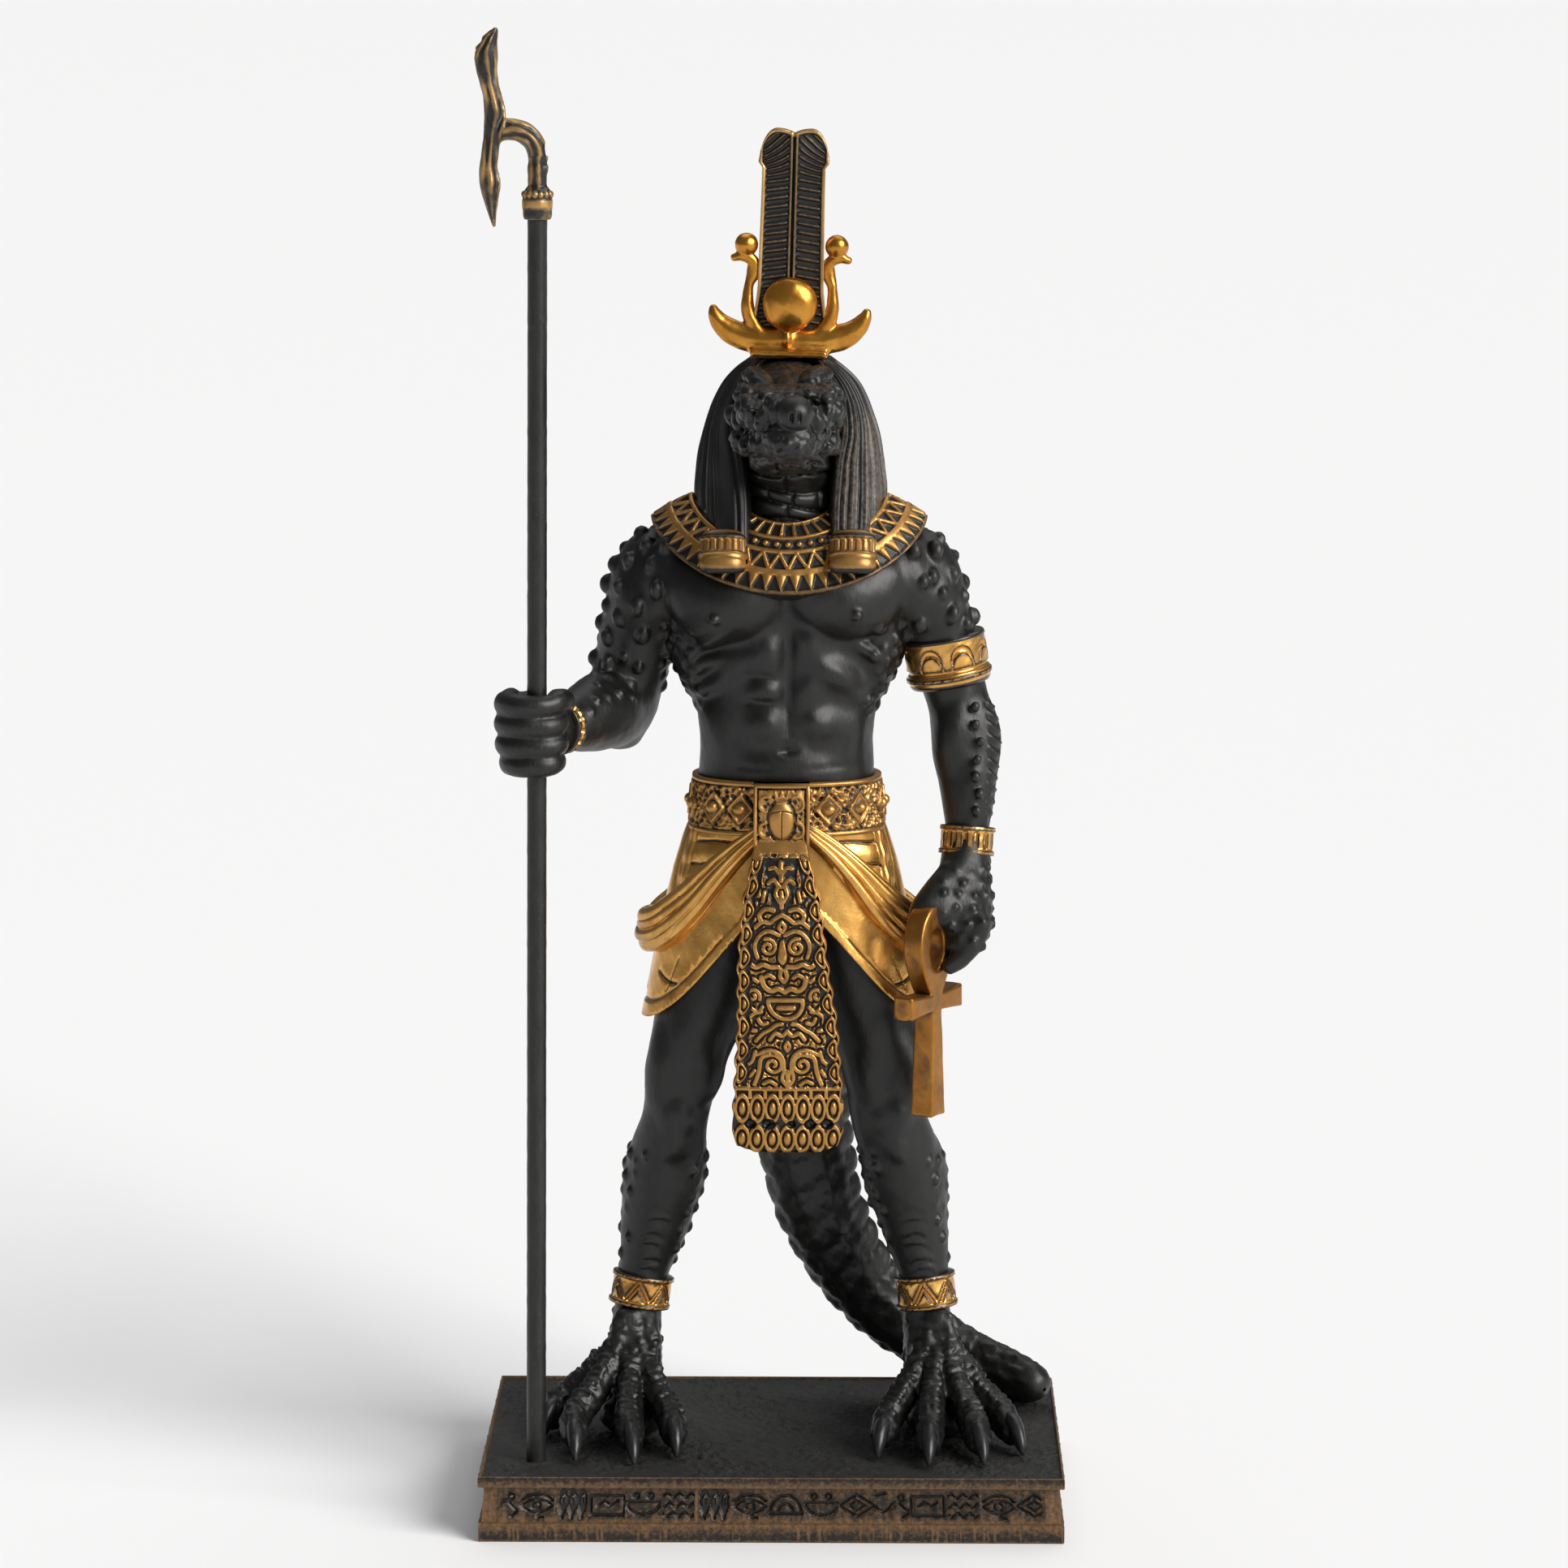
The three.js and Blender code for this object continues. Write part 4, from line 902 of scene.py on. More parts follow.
TAIL = [
    [0, 9, 112, 8, 7], [0.6, 16, 98, 10, 9], [1.6, 19, 84, 10.0, 9.4], [2.4, 20, 70, 9.3, 9.0],
    [3.6, 20.5, 55, 8.8, 8.6], [6.6, 22, 41, 8.2, 8.0], [12, 24.5, 29, 7.5, 7.4],
    [19.6, 27, 18.8, 6.9, 6.8], [28.6, 28.0, 11.4, 6.3, 6.3], [37.6, 25.6, 7.0, 5.7, 5.9],
    [45.0, 20.8, 5.3, 5.0, 5.1], [49.2, 17.4, 4.6, 4.3, 4.4], [51.4, 15.4, 4.1, 3.3, 3.4],
    [52.4, 14.4, 3.8, 2.0, 2.2], [52.7, 14.1, 3.7, 0.4, 0.5],
]


def tail_relief(along, angle):
    """Scalloped edges, rows of soft pointed bumps down the back, and a plain belly."""
    lift = np.zeros(np.broadcast(along, angle).shape)
    fade = 1 - 0.35 * ease(along / 170)
    pitch = 6.2
    rows = ((-8, 1.9, 0.34, 0.0), (188, 1.9, 0.34, 0.5), (62, 1.5, 0.22, 0.25), (118, 1.3, 0.24, 0.75),
            (28, 0.8, 0.2, 0.5), (150, 0.8, 0.2, 0.0), (-40, 0.8, 0.22, 0.5), (220, 0.7, 0.24, 0.0),
            (-66, 0.7, 0.2, 0.25), (-112, 0.5, 0.22, 0.6))
    for degrees, rise, width, shift in rows:
        bend = math.radians(degrees) + 0.06 * np.sin(along * 0.35 + degrees)
        gap = (angle - bend + math.pi) % (2 * math.pi) - math.pi
        bump = dome(repeat(along + shift * pitch, pitch) / (pitch * 0.54), 1.0) ** 0.9
        lift = lift + rise * fade * bump * bell(gap / width)
    ring = 0.3 * np.abs(np.sin(along / pitch * math.pi)) ** 0.6
    spot = join_axes(along, angle * 8, 0.0)
    lift = lift + ring - 0.6 + 0.22 * waves(spot, 3.0) + 0.14 * waves(spot, 1.3, 1.0)
    return lift * ease((along.max() - along) / 7)


def tail(skin):
    points, quads = closed_tube(swept(TAIL, 190, 0.55, (0, 1, 0.2), 2.0, tail_relief))
    points[:, 2] = points[:, 2].clip(0.03)
    skin_piece("tail", points, quads, skin)


# Head and neck


def head_studs(clay):
    """Irregular knobs on the cheeks, jaw and throat."""
    clay.studs((-14, -40, 197), (15, 0, 214), lambda x, y, z:
               (np.abs(x - 0.4) > 7.4) & between(z, 199.0, 212) & between(y, -29, -5),
               2.5, (1.5, 1.25, 0.9), 11)
    clay.studs((-12, -44, 193), (12, -8, 205), lambda x, y, z:
               between(z, 195.0, 203.4) & (y < -12) & (np.abs(x) < 10),
               2.2, (0.75, 0.7, 0.5), 12)


def head_relief(points):
    """Rows of thick plates round the neck, and fine unevenness elsewhere."""
    x, y, z = points[:, 0] - 0.6, points[:, 1], points[:, 2]
    neck = ease((197.4 - 0.25 * (y + 10).clip(-10, 0) - z) / 2.0)
    level_z = z + 0.10 * x + 0.7 * np.sin(0.33 * x + 0.5 * z)
    row = level_z / 3.3
    level = np.floor(row)
    rise = row - level
    width = 7.0 + 2.0 * np.sin(level * 2.4)
    brick = repeat(x + 2.9 * (level % 2) + 1.3 * np.sin(level * 5.1), width) / width
    plate = (1 - np.abs(2 * rise - 1) ** 3.2) * (1 - np.abs(2 * brick) ** 7) ** 0.5
    height = neck * (1.2 * plate - 0.75)
    near, second = pebbles(points, 1.9, 8)
    fine = (1 - neck) * (0.12 * dome(near, 1.0) - 0.20 * (1 - ease((second - near) / 0.3)))
    nose = np.sqrt(((x - 1.5) / 3.7) ** 2 + ((z - 209.2) / 3.7) ** 2)
    fine = fine * (1 - (y < -32) * ease((1.25 - nose) / 0.3))
    wrinkle = 0.13 * np.sin((nose - 1.0) * 11.0) * (y < -24) * window(nose, 1.0, 2.1, 0.2) * (z > 208)
    gum = z - 205.5 + 0.3 * np.sin((y + 20) * 0.42)
    mouth = (1 - neck) * ease((-20 - y) / 3) * 0.2 * bell(gum / 0.28)
    return height + fine + wrinkle - mouth + 0.07 * waves(points, 1.8, 0.8)


def head_and_neck(skin):
    clay = Clay((-15.4, -46, 177), (15.8, 14, 217.5), 0.29)
    clay.limb([[0.4, 4, 176, 11, 11], [0.5, 1.2, 186, 8.9, 9.6], [0.6, -0.6, 194, 8.8, 9.4],
               [0.5, -1, 206, 8.8, 9.4]], 0, spacing=0.8)
    clay.limb([[0.4, 8, 206.0, 8.4, 7.8], [0.4, 0, 206.6, 10.4, 8.8], [0.4, -9, 206.0, 10.4, 8.0],
               [0.5, -15, 205.0, 9.2, 6.9], [0.7, -21, 204.2, 7.9, 6.2], [1.0, -28, 204.0, 6.6, 5.6],
               [1.3, -34, 204.0, 5.4, 5.0], [1.5, -36.4, 203.9, 4.6, 4.2]], 2.0, UP, spacing=0.8)
    clay.muscles([
        (0.5, -13, 199.8, 7.0, 9, 4.6, 2.5, 8, 0, 0), (0.5, -9, 197.0, 7.4, 7, 4.6, 2.5),
        (0.4, -5, 209.8, 9.4, 10.5, 6.2, 1.5), (1.2, -27.0, 207.4, 4.8, 10.5, 3.8, 1.6, 3, 0, 0),
    ])
    for brow in ([[-6.2, -9, 213.6, 2.4, 1.9], [-5.2, -14.0, 213.0, 2.3, 2.0], [-3.6, -18.6, 211.2, 1.7, 1.6]],
                 [[7.0, -9, 213.8, 2.4, 1.9], [5.6, -13.5, 213.6, 2.5, 2.0], [4.4, -17.4, 212.6, 1.9, 1.6]]):
        clay.limb(brow, 0.5, UP, spacing=0.5)
    clay.muscle((0.2, -14.4, 212.0), (2.4, 5.0, 1.8), soft=0.8)
    for side in (LEFT, RIGHT):
        clay.muscles([(8.2, -12.6, 210.2, 2.3, 2.6, 2.1, 0.4, 0, 20, 0)], side, 0.6)
        clay.muscles([(6.6, -19.0, 209.2, 2.2, 2.8, 2.0, 0.5, 0, 20, 0)], side, 0.7)
        for y, x, z, size, tall in ((-34.2, 4.9, 207.4, 1.9, 2.9), (-29.6, 6.2, 206.8, 2.0, 2.4),
                                    (-25.0, 7.2, 207.2, 2.1, 2.3), (-20.0, 8.4, 205.8, 2.1, 2.2),
                                    (-15.4, 9.3, 206.6, 2.0, 2.1)):
            clay.muscles([(x, y, z, size, size, tall, 0.35, 0, -14, 0)], side, 1.2 - 0.045 * (y + 38))
        for y, x, z, size in ((-32.6, 4.4, 202.6, 1.8), (-27.4, 5.6, 202.2, 1.9), (-22.0, 7.0, 201.8, 2.1),
                              (-16.6, 8.2, 201.6, 2.3)):
            clay.muscles([(x, y, z, size, size * 1.2, size, 0.5)], side, 1.1 - 0.04 * (y + 38))
        for number in range(8):
            tooth = (0.5 + 0.85 * number, -39.0 + 0.42 * number ** 1.5, 205.3)
            clay.muscles([(*tooth, 0.34, 0.55, 0.6, 0.12)], side, 1.6)
    clay.muscles([
        (2.1, -37.4, 208.9, 3.6, 3.7, 3.5, 0.4), (-1.6, -34.6, 209.6, 2.5, 3.4, 3.1, 0.6),
        (-3.4, -24.0, 211.2, 2.6, 4.4, 1.9, 1.2), (4.6, -24.0, 211.4, 2.8, 4.6, 1.9, 1.2),
        (0.8, -22.0, 211.4, 3.6, 6.4, 1.6, 1.6), (-6.4, -27.0, 208.8, 2.6, 4.6, 2.4, 1.0),
        (8.4, -26.0, 208.8, 2.6, 4.6, 2.4, 1.0), (-7.0, -18.5, 210.8, 2.4, 4.0, 1.9, 0.8),
        (7.6, -18.0, 211.0, 2.4, 4.0, 1.9, 0.8), (1.4, -35.4, 202.8, 4.6, 4.0, 2.9, 1.2),
        (0.2, -38.6, 203.0, 0.8, 0.7, 0.6, 0.2), (3.0, -38.0, 202.0, 0.7, 0.6, 0.5, 0.2),
    ])
    clay.emboss(head_relief, 1.3)
    head_studs(clay)
    for side in (LEFT, RIGHT):
        clay.cut(lambda x, y, z, nostril=side * 0.75: np.sqrt(
            ((x - 2.3 - nostril) / 0.42) ** 2 + ((y + 41.1) / 1.0) ** 2 + ((z - 208.2) / 1.4) ** 2) - 1.0)
    clay.cut(lambda x, y, z: SEAT_Z - 0.25 - z)
    make_skin("head_and_neck", clay, skin)


# Headcloth

CLOTH = [
    # height, half width, half depth, middle y, half width of the face opening
    [216.3, 8.0, 7.6, 2.6, 5.2], [212.5, 12.7, 10.8, 3.0, 8.4], [208.5, 14.9, 12.4, 3.2, 10.2],
    [203, 16.8, 13.4, 3.4, 10.8], [197, 18.2, 14.2, 3.6, 9.6], [190, 19.0, 15.0, 3.2, 8.9],
    [184, 18.5, 16.2, 2.4, 8.8], [180.2, 17.3, 17.0, 1.6, 8.8],
]


def headcloth(skin):
    """One shell of strands, open in front, whose front ends hang on the chest as lappets."""
    rows = np.array(CLOTH)
    levels, outer_count, inner_count, strands = 150, 560, 30, 29
    height = np.linspace(rows[0, 0], rows[-1, 0], levels)
    kernel = np.ones(17) / 17
    half, deep, middle, open_half = (
        np.convolve(np.pad(np.interp(-height, -rows[:, 0], rows[:, i]), 8, "reflect", reflect_type="odd"),
                    kernel, "valid")[:, None] for i in range(1, 5))
    height = height[:, None]
    start = np.arcsin(np.clip(open_half / half, 0, 0.98))

    def shell(share, grow_half, grow_deep):
        angle = start + (2 * math.pi - 2 * start) * share[None, :]
        size = squared_off(angle, 2.2)
        return join_axes(0.9 - np.sin(angle) * size * (half + grow_half),
                         middle - np.cos(angle) * size * (deep + grow_deep), height)

    share = np.linspace(0, 1, outer_count)
    warp = 0.013 * np.sin(share * 38.0 + 1.0) + 0.006 * np.sin(share * 83.0)
    drift = 0.12 * np.sin(share[None, :] * 21.0 + 0.05 * height)
    place = (share + warp)[None, :] * strands + drift
    lobe = np.abs(np.sin(place * math.pi)) ** 0.26
    hair = 0.09 * np.sin(place * 4 * math.pi) + 0.05 * np.sin(place * 9 * math.pi)
    level = 0.25 * np.sin(np.floor(place) * 2.7)
    angle = start + (2 * math.pi - 2 * start) * share[None, :]
    uneven = 0.2 * waves(join_axes(angle * 9, height / 2, 0.0), 3.0)
    edge = (ease(share / 0.012) * ease((1 - share) / 0.012))[None, :]
    lift = (1.5 * lobe + hair + level * lobe + uneven - 1.5) * edge - 0.8 * (1 - edge)
    lift *= ease((216.5 - height) / 2)
    wall = 4.4
    inner = shell(np.linspace(1, 0, inner_count), -wall * 0.7, -wall)
    points, quads = closed_tube(np.concatenate([shell(share, lift, lift), inner], 1))
    groove = np.concatenate([lobe, np.zeros((levels, inner_count))], 1).ravel()
    # Bronze on the strands: an even dry-brushed share, plus more towards the right and lower side as a painted
    # highlight of the lit side
    worn = 0.20 + 0.27 * ease((points[:-2, 0] + 6) / 20) * ease((213 - points[:-2, 2]) / 12)
    figure_piece("headcloth", points, quads, skin, rub=with_ends(worn * (0.3 + 0.7 * groove ** 3)))


def lappet_band(gold, side):
    """Gold band at the end of a lappet: blocks between two rims, over a thick rolled end."""
    middle = -12.2 if side < 0 else 13.1
    rows = [[middle, *row] for row in (
        (-12.2, 182.6, 3.6, 1.6), (-12.8, 182.0, 4.3, 2.5), (-13.6, 179.6, 4.5, 3.2),
        (-14.4, 177.8, 4.5, 3.4), (-14.8, 177.0, 4.6, 3.6), (-15.1, 176.0, 4.2, 3.3),
        (-15.2, 175.5, 3.2, 2.4))]

    def ribs(along, angle):
        rims = 0.35 * (ridge(along - 0.9, 0.22, 0.2) + ridge(along - 4.3, 0.24, 0.2))
        inside = window(along, 1.2, 4.0, 0.15)
        return rims - 0.5 * inside * (1 - ridge(repeat(angle, 2 * math.pi / 19) * 4.2, 0.42, 0.14))

    points, quads = closed_tube(swept(rows, 230, 0.14, (0, -1, -0.3), 2.5, ribs))
    relief = 0.85 + 5 * hollows(points, quads, 5) - 0.45 * ease((177.4 - points[:, 2]) / 0.8)
    figure_piece(f"lappet_band_{SIDE_NAME[side]}", points, quads, gold, relief=relief.clip(0, 1))


# Collar

COLLAR_TEETH, COLLAR_ZIGZAGS, COLLAR_BEADS, COLLAR_RIBS = 56, 38, 50, 36


def collar_edge(angle):
    front = np.maximum(np.sin(angle), 0)
    back = np.maximum(-np.sin(angle), 0)
    depth = np.where(front > 0, 17.2, 15.0)
    return np.stack([0.6 + 27 * np.cos(angle), 2 - depth * np.sin(angle),
                     184.6 - 13.0 * front ** 1.3 - 4 * back], -1)


def collar_neck(angle):
    return np.stack([0.4 + 9.0 * np.cos(angle), 1.6 - 9.8 * np.sin(angle),
                     189.5 - 4.8 * np.maximum(np.sin(angle), 0)], -1)


def collar(gold):
    """Broad collar: raised triangles, zigzag, beads and ribs between plain rings."""
    around, across = 1000, 92
    angle = np.arange(around) / around * 2 * math.pi
    share = np.linspace(0, 1, across)
    edge, neck = collar_edge(angle), collar_neck(angle)
    row = share[None, :] * 14.0

    def gap(count):
        return repeat(angle, 2 * math.pi / count)[:, None]

    def spaced(count):
        return np.abs(gap(count)) * count / math.pi

    tooth_low = ease((1.02 - spaced(COLLAR_TEETH) - (2.5 - row) / 2.5) * 4) * ease((2.5 - row) / 0.15)
    facet = np.clip(1.1 - np.abs(gap(COLLAR_TEETH)) * COLLAR_TEETH / 6, 0.3, 1)
    rim = ridge(row - 0.12, 0.16, 0.12)
    height = np.maximum(tooth_low * facet, 0.35 * rim)
    shown = np.maximum(tooth_low * (0.35 + 0.6 * facet), 0.45 * rim)
    rings = [(ridge(row - middle, half, 0.15), 1.0)
             for middle, half in ((2.85, 0.36), (6.1, 0.3), (8.8, 0.28), (12.9, 0.25))]
    zigzag = ridge((spaced(COLLAR_ZIGZAGS) - (row - 3.3) / 2.5) * 1.3, 0.22, 0.16)
    zigzag = zigzag * window(row, 3.0, 6.0, 0.1)
    beads = dome(np.hypot(gap(COLLAR_BEADS) * 15.5, row - 7.45), 0.62)
    rib = ridge(gap(COLLAR_RIBS) * 11.5, 0.22, 0.13) * window(row, 9.0, 12.8, 0.15)
    for work, rise in rings + [(zigzag, 0.9), (beads, 1.2), (rib, 0.9)]:
        height = np.maximum(height, rise * work)
        shown = np.maximum(shown, work)
    surface = edge[:, None] + (neck - edge)[:, None] * share[None, :, None]
    surface[..., 2] += 2.0 * np.sin(share * math.pi)
    normal = np.cross(np.gradient(surface, axis=0), np.gradient(surface, axis=1))
    normal /= np.linalg.norm(normal, axis=-1, keepdims=True)
    normal *= np.sign(normal[..., 2].mean())
    wear = 0.12 * waves(surface, 1.6, 0.4)
    surface = surface + normal * (0.62 * height + 0.3 + 0.4 * wear)[..., None]
    lines = ((neck, 0.9, 0, -2.5), (edge, 0.85, 0.3, -1.6), (edge, 0.975, 0.2, -0.5))
    hidden = [line[:, None] * np.array([shrink, shrink, 1.0]) + np.array([0, back, drop])
              for line, shrink, back, drop in lines]
    points, quads = closed_ring(np.concatenate([surface, *hidden], 1))
    relief = np.concatenate([shown + wear, np.full((around, 3), 0.25)], 1)
    figure_piece("collar", points, quads, gold, relief=relief.clip(0, 1))


# Belt


def belt_point(angle, height, lift):
    """On the belt's ring; angle 0 faces +X and a quarter turn faces the front."""
    size = squared_off(angle, 2.3)
    drop = (BELT_TOP - height) / (BELT_TOP - BELT_LOW)
    half = 18.6 + 0.9 * drop + lift
    deep = 13.1 + 0.7 * drop + lift
    return join_axes(0.1 + half * size * np.cos(angle), 3 - deep * size * np.sin(angle), height)


def belt(gold):
    """Wide belt of hammered gold with raised diamonds, each with a round boss."""
    around, across = 900, 64
    angle = (np.arange(around) / around * 2 * math.pi)[:, None]
    height = np.linspace(BELT_LOW, BELT_TOP, across)[None, :]
    pit, crease = pitted(join_axes(angle * BELT_R, height, 0.0), 1.25, 21, 0.56)
    edge_gap = np.minimum(height - BELT_LOW, BELT_TOP - height)
    line = ridge(edge_gap - 0.95, 0.1, 0.18)
    rim = ease((0.95 - edge_gap) / 0.2) > 0.5
    lift = np.where(rim, 0.45, 0.35 + 0.25 * crease - 0.45 * pit) - 0.3 * line
    shown = np.where(rim, 0.95, 0.80 + 0.3 * crease - 0.75 * pit) - 0.6 * line
    for middle in (17, 44, 65, 117, 136, 162, 184, 206, 228, 250, 272, 294, 316, 338, 360):
        x = repeat(angle - math.radians(middle) + math.pi, 2 * math.pi) * BELT_R
        z = height - 128.1
        diamond = np.abs(x) / 2.6 + np.abs(z) / 3.4
        flat = ease((1.0 - diamond) / 0.12)
        border = ridge(diamond - 0.86, 0.07, 0.1)
        trench = ridge(diamond - 1.1, 0.06, 0.12)
        away = np.hypot(x, z)
        boss = dome(away, 1.15)
        lift = lift * (1 - flat) + flat * (0.55 + 0.3 * border) - 0.3 * trench
        lift = np.where(boss > 0, np.maximum(lift, 0.55 + 1.15 * boss), lift)
        shown = shown * (1 - flat) + flat * (0.72 + 0.28 * border) - 0.5 * trench
        shown = np.where(boss > 0, 0.95, shown) - 0.45 * ridge(away - 1.3, 0.06, 0.12)
    surface = belt_point(angle, height, lift - 0.25)
    inside = belt_point(angle, height[:, [-1, 0]], -2.2)
    points, quads = closed_ring(np.concatenate([surface, inside], 1))
    relief = np.concatenate([shown, np.zeros((around, 2))], 1)
    figure_piece("belt", points, quads, gold, relief=relief.clip(0, 1))


def buckle_relief(u, v, spot):
    """Height and gold of the beetle, its legs and the rim, u and v from the buckle's middle."""
    pit, _ = pitted(spot, 1.1, 31, 0.5)
    edge_gap = np.minimum(5.5 - np.abs(u), 6.2 - np.abs(v))
    rim = ease((0.7 - edge_gap) / 0.15)
    line = ridge(edge_gap - 0.85, 0.08, 0.16)
    body_out = np.hypot(u / 2.5, (v + 0.9) / 3.7)
    body = dome(body_out, 1.0) ** 0.8
    split = ridge(u, 0.04, 0.12) * (v < 0.9) + ridge(v - 1.1 + 0.10 * u * u, 0.05, 0.14)
    split = np.clip(split, 0, 1) * (body > 0.2)
    head = ease((1.25 + 0.18 * (v - 2.6) - np.abs(u)) / 0.25)
    head = head * window(v, 2.3, 4.6 + 0.5 * np.cos(u * 4.8), 0.25)
    legs = 0.0
    for leg_v, bend in ((3.0, 1), (-3.4, -1)):
        away = np.hypot(np.abs(u) - 2.9, v - leg_v + bend * 0.6)
        beyond = bend * (v - leg_v)
        arc = ridge(away - 1.5, 0.24, 0.2) * ((np.abs(u) > 2.7) | (beyond > 0.4)) * (beyond < 2.2)
        legs = np.maximum(legs, arc * (np.abs(u) > 2.0))
    trench = ridge(body_out - 1.12, 0.05, 0.08)
    work = np.maximum(np.maximum(1.5 * body, 0.8 * head), 0.8 * legs)
    lift = np.maximum(0.35 - 0.4 * pit, work) - 0.35 * split - 0.3 * line - 0.3 * trench
    shown = np.maximum(0.72 - 0.75 * pit, np.clip(work * 3, 0, 1)) - 0.7 * split - 0.5 * line - 0.5 * trench
    return 0.75 * (lift * (1 - rim) + 0.85 * rim), (shown * (1 - rim) + rim).clip(0, 1)
def buckle(gold):
    """Square buckle with a beetle on pitted ground."""
    middle, half, low, step, rear_count = -0.75, 5.5, 121.0, 0.09, 8
    x = np.linspace(middle - half, middle + half, int(2 * half / step) + 1)[None, :]
    z = np.linspace(low, BELT_TOP, int((BELT_TOP - low) / step) + 1)[:, None]
    height, shown = buckle_relief(x - middle, z - 127.2, join_axes(x, z, 0.0))
    face = -12.2 + 0.010 * (x - middle) ** 2 - 0.10 * (124 - z).clip(0, 4)
    rear = join_axes(np.linspace(middle + half, middle - half, rear_count)[None, :], -8.0, z)
    points, quads = closed_tube(np.concatenate([join_axes(x, face - height, z), rear], 1))
    relief = np.concatenate([shown, np.zeros((len(z), rear_count))], 1)
    figure_piece("buckle", points, quads, gold, relief=with_ends(relief))


# Kilt, drapes and apron


SWAG = [
    # angle from the side, height, half width of the drape
    [80, 124.2, 1.3], [66, 120.0, 2.2], [54, 115.4, 3.0], [39, 108.9, 3.9], [22, 103.6, 4.4],
    [2, 101.8, 4.5], [-18, 103.0, 4.4], [-40, 107.5, 3.7], [-58, 114.0, 2.8], [-72, 121.0, 2.0],
]


def kilt_place(angle, height, grow=0.0):
    drop = np.maximum(KILT_TOP - height, 0) / (KILT_TOP - KILT_HEM)
    half = 19.2 + 9.6 * drop ** 0.75 + grow
    deep = 13.2 + 4.6 * drop ** 0.9 + grow
    return join_axes(half * np.cos(angle), 3.4 - deep * np.sin(angle), height)


def kilt(gold):
    """Wrapped kilt: pressed bands above the drapes, smooth gold below them, and a hem band."""
    around, down, hip = 800, 124, 22
    angle = (np.arange(around) / around * 2 * math.pi)[:, None]
    share = np.linspace(0, 1, down)[None, :]
    front = np.maximum(np.sin(angle), 0)
    hem = KILT_HEM + 24 * front ** 3.7
    height = hem + (KILT_TOP - hem) * share
    above = height - hem
    folded = np.degrees(np.arcsin(np.clip(np.sin(angle), -1, 1)))
    rows = np.array(SWAG)[::-1]
    drape = np.interp(folded, rows[:, 0], rows[:, 1], left=124, right=124)
    upper = ease((height - drape - 1.0) / 1.5)
    hem_line = ridge(above - 3.4, 0.16, 0.3) * (np.abs(folded) < 60)
    lift = -0.45 * hem_line + 0.25 * ease((3.2 - above) / 0.5)
    shown = 0.9 - 0.7 * hem_line - 0.3 * ease((1.2 - above) / 1.2)
    band = repeat(height + 0.5 * np.sin(angle * hip * 0.22) + 0.8, 4.5)
    groove = ridge(np.abs(band) - 2.25, 0.14, 0.26) * upper * window(folded, 30, 66, 2)
    lift = lift - 0.5 * groove + 0.10 * upper * np.cos(band / 4.5 * 2 * math.pi) * (folded > 20)
    shown = shown - 0.85 * groove
    lower = 1.0 - ridge(above, 4.0, 1.0)
    rolls = ((31, 1.2, 0.75, upper), (14, 2.2, 0.3, upper), (-14, 2.4, 0.4, lower),
             (-36, 2.0, 0.45, lower), (-56, 1.8, 0.45, lower), (-76, 1.8, 0.45, lower))
    for degrees, wide, rise, on in rolls:
        for side, middle in ((RIGHT, degrees), (LEFT, 180 - degrees)):
            roll = repeat(angle - math.radians(middle) + math.pi, 2 * math.pi) * hip
            roll = roll + side * 0.10 * (height - 105)
            lift = lift + rise * dome(roll, wide) * on
            shown = shown - 0.5 * ridge(np.abs(roll) - wide - 0.1, 0.08, 0.3) * on
    for crease in (((folded - 21) * 0.30 + above - 9) * 0.85, (folded - 36 - (above - 10)) * 0.42):
        mark = ridge(crease, 0.12, 0.25) * (1 - upper)
        mark = mark * window(above, 3.8, 10, 0.6) * window(folded, 19, 40, 2)
        lift = lift - 0.45 * mark
        shown = shown - 0.85 * mark
    # Painted shade: the gold darkens in a narrow band along each edge of the drape, where the drape shades the
    # kilt
    beside = (np.abs(height - drape) - 4.6) * (np.abs(folded) < 76)
    shown = shown - 0.2 * bell(beside / 0.9)
    outer = kilt_place(angle, height, lift)
    rough = 0.09 * waves(outer, 5.0, 0.3) + 0.03 * waves(outer, 1.8, 0.9)
    outer = kilt_place(angle, height, lift + rough)
    under = kilt_place(angle, height[:, [0]] + 1.5, -2.4)
    inner = join_axes(0.72 * under[..., 0], 1.2 + 0.72 * under[..., 1], 106.0)
    top = kilt_place(angle, height[:, [-1]], -3.0)
    points, quads = closed_ring(np.concatenate([outer, top, inner, under], 1))
    relief = np.concatenate([shown + 0.5 * rough, np.zeros((around, 3))], 1)
    figure_piece("kilt", points, quads, gold, relief=relief.clip(0, 1))


def swag(gold, side):
    """Draped sash from the buckle round the hip to the back, in soft folds."""
    rows = []
    for degrees, height, across in SWAG:
        angle = math.radians(degrees if side > 0 else 180 - degrees)
        bulge = 1.7 * math.exp(-((degrees - 2) / 26) ** 2)
        rows.append([*kilt_place(angle, height, 0.3 + bulge), across, 1.9 + 0.12 * across])
    edges = (-1.0, -0.5, -0.02, 0.42, 1.0)

    def lobes(along, angle):
        across = np.cos(angle) + 0.05 * np.sin(along / 7)
        total = 0.0
        for number, (low, high) in enumerate(zip(edges[:-1], edges[1:])):
            middle = (low + high) / 2 + 0.06 * np.sin(along / 8 + 1.7 * number)
            fold = dome((across - middle) / ((high - low) / 2 + 0.03), 1.0) ** 0.8
            total = np.maximum(total, fold * (0.85 + 0.25 * math.sin(2.1 * number)))
        return (1.25 * total - 0.75) * ease((along + 4) / 7) * ease((76 - along) / 6) * (np.sin(angle) > -0.2)

    points, quads = closed_tube(swept(rows, 170, 0.4, (side * 0.3, -0.3, 0), 2.3, lobes))
    relief = 0.78 + 2.0 * hollows(points, quads, 9)
    figure_piece(f"swag_{SIDE_NAME[side]}", points, quads, gold, relief=relief.clip(0, 1))


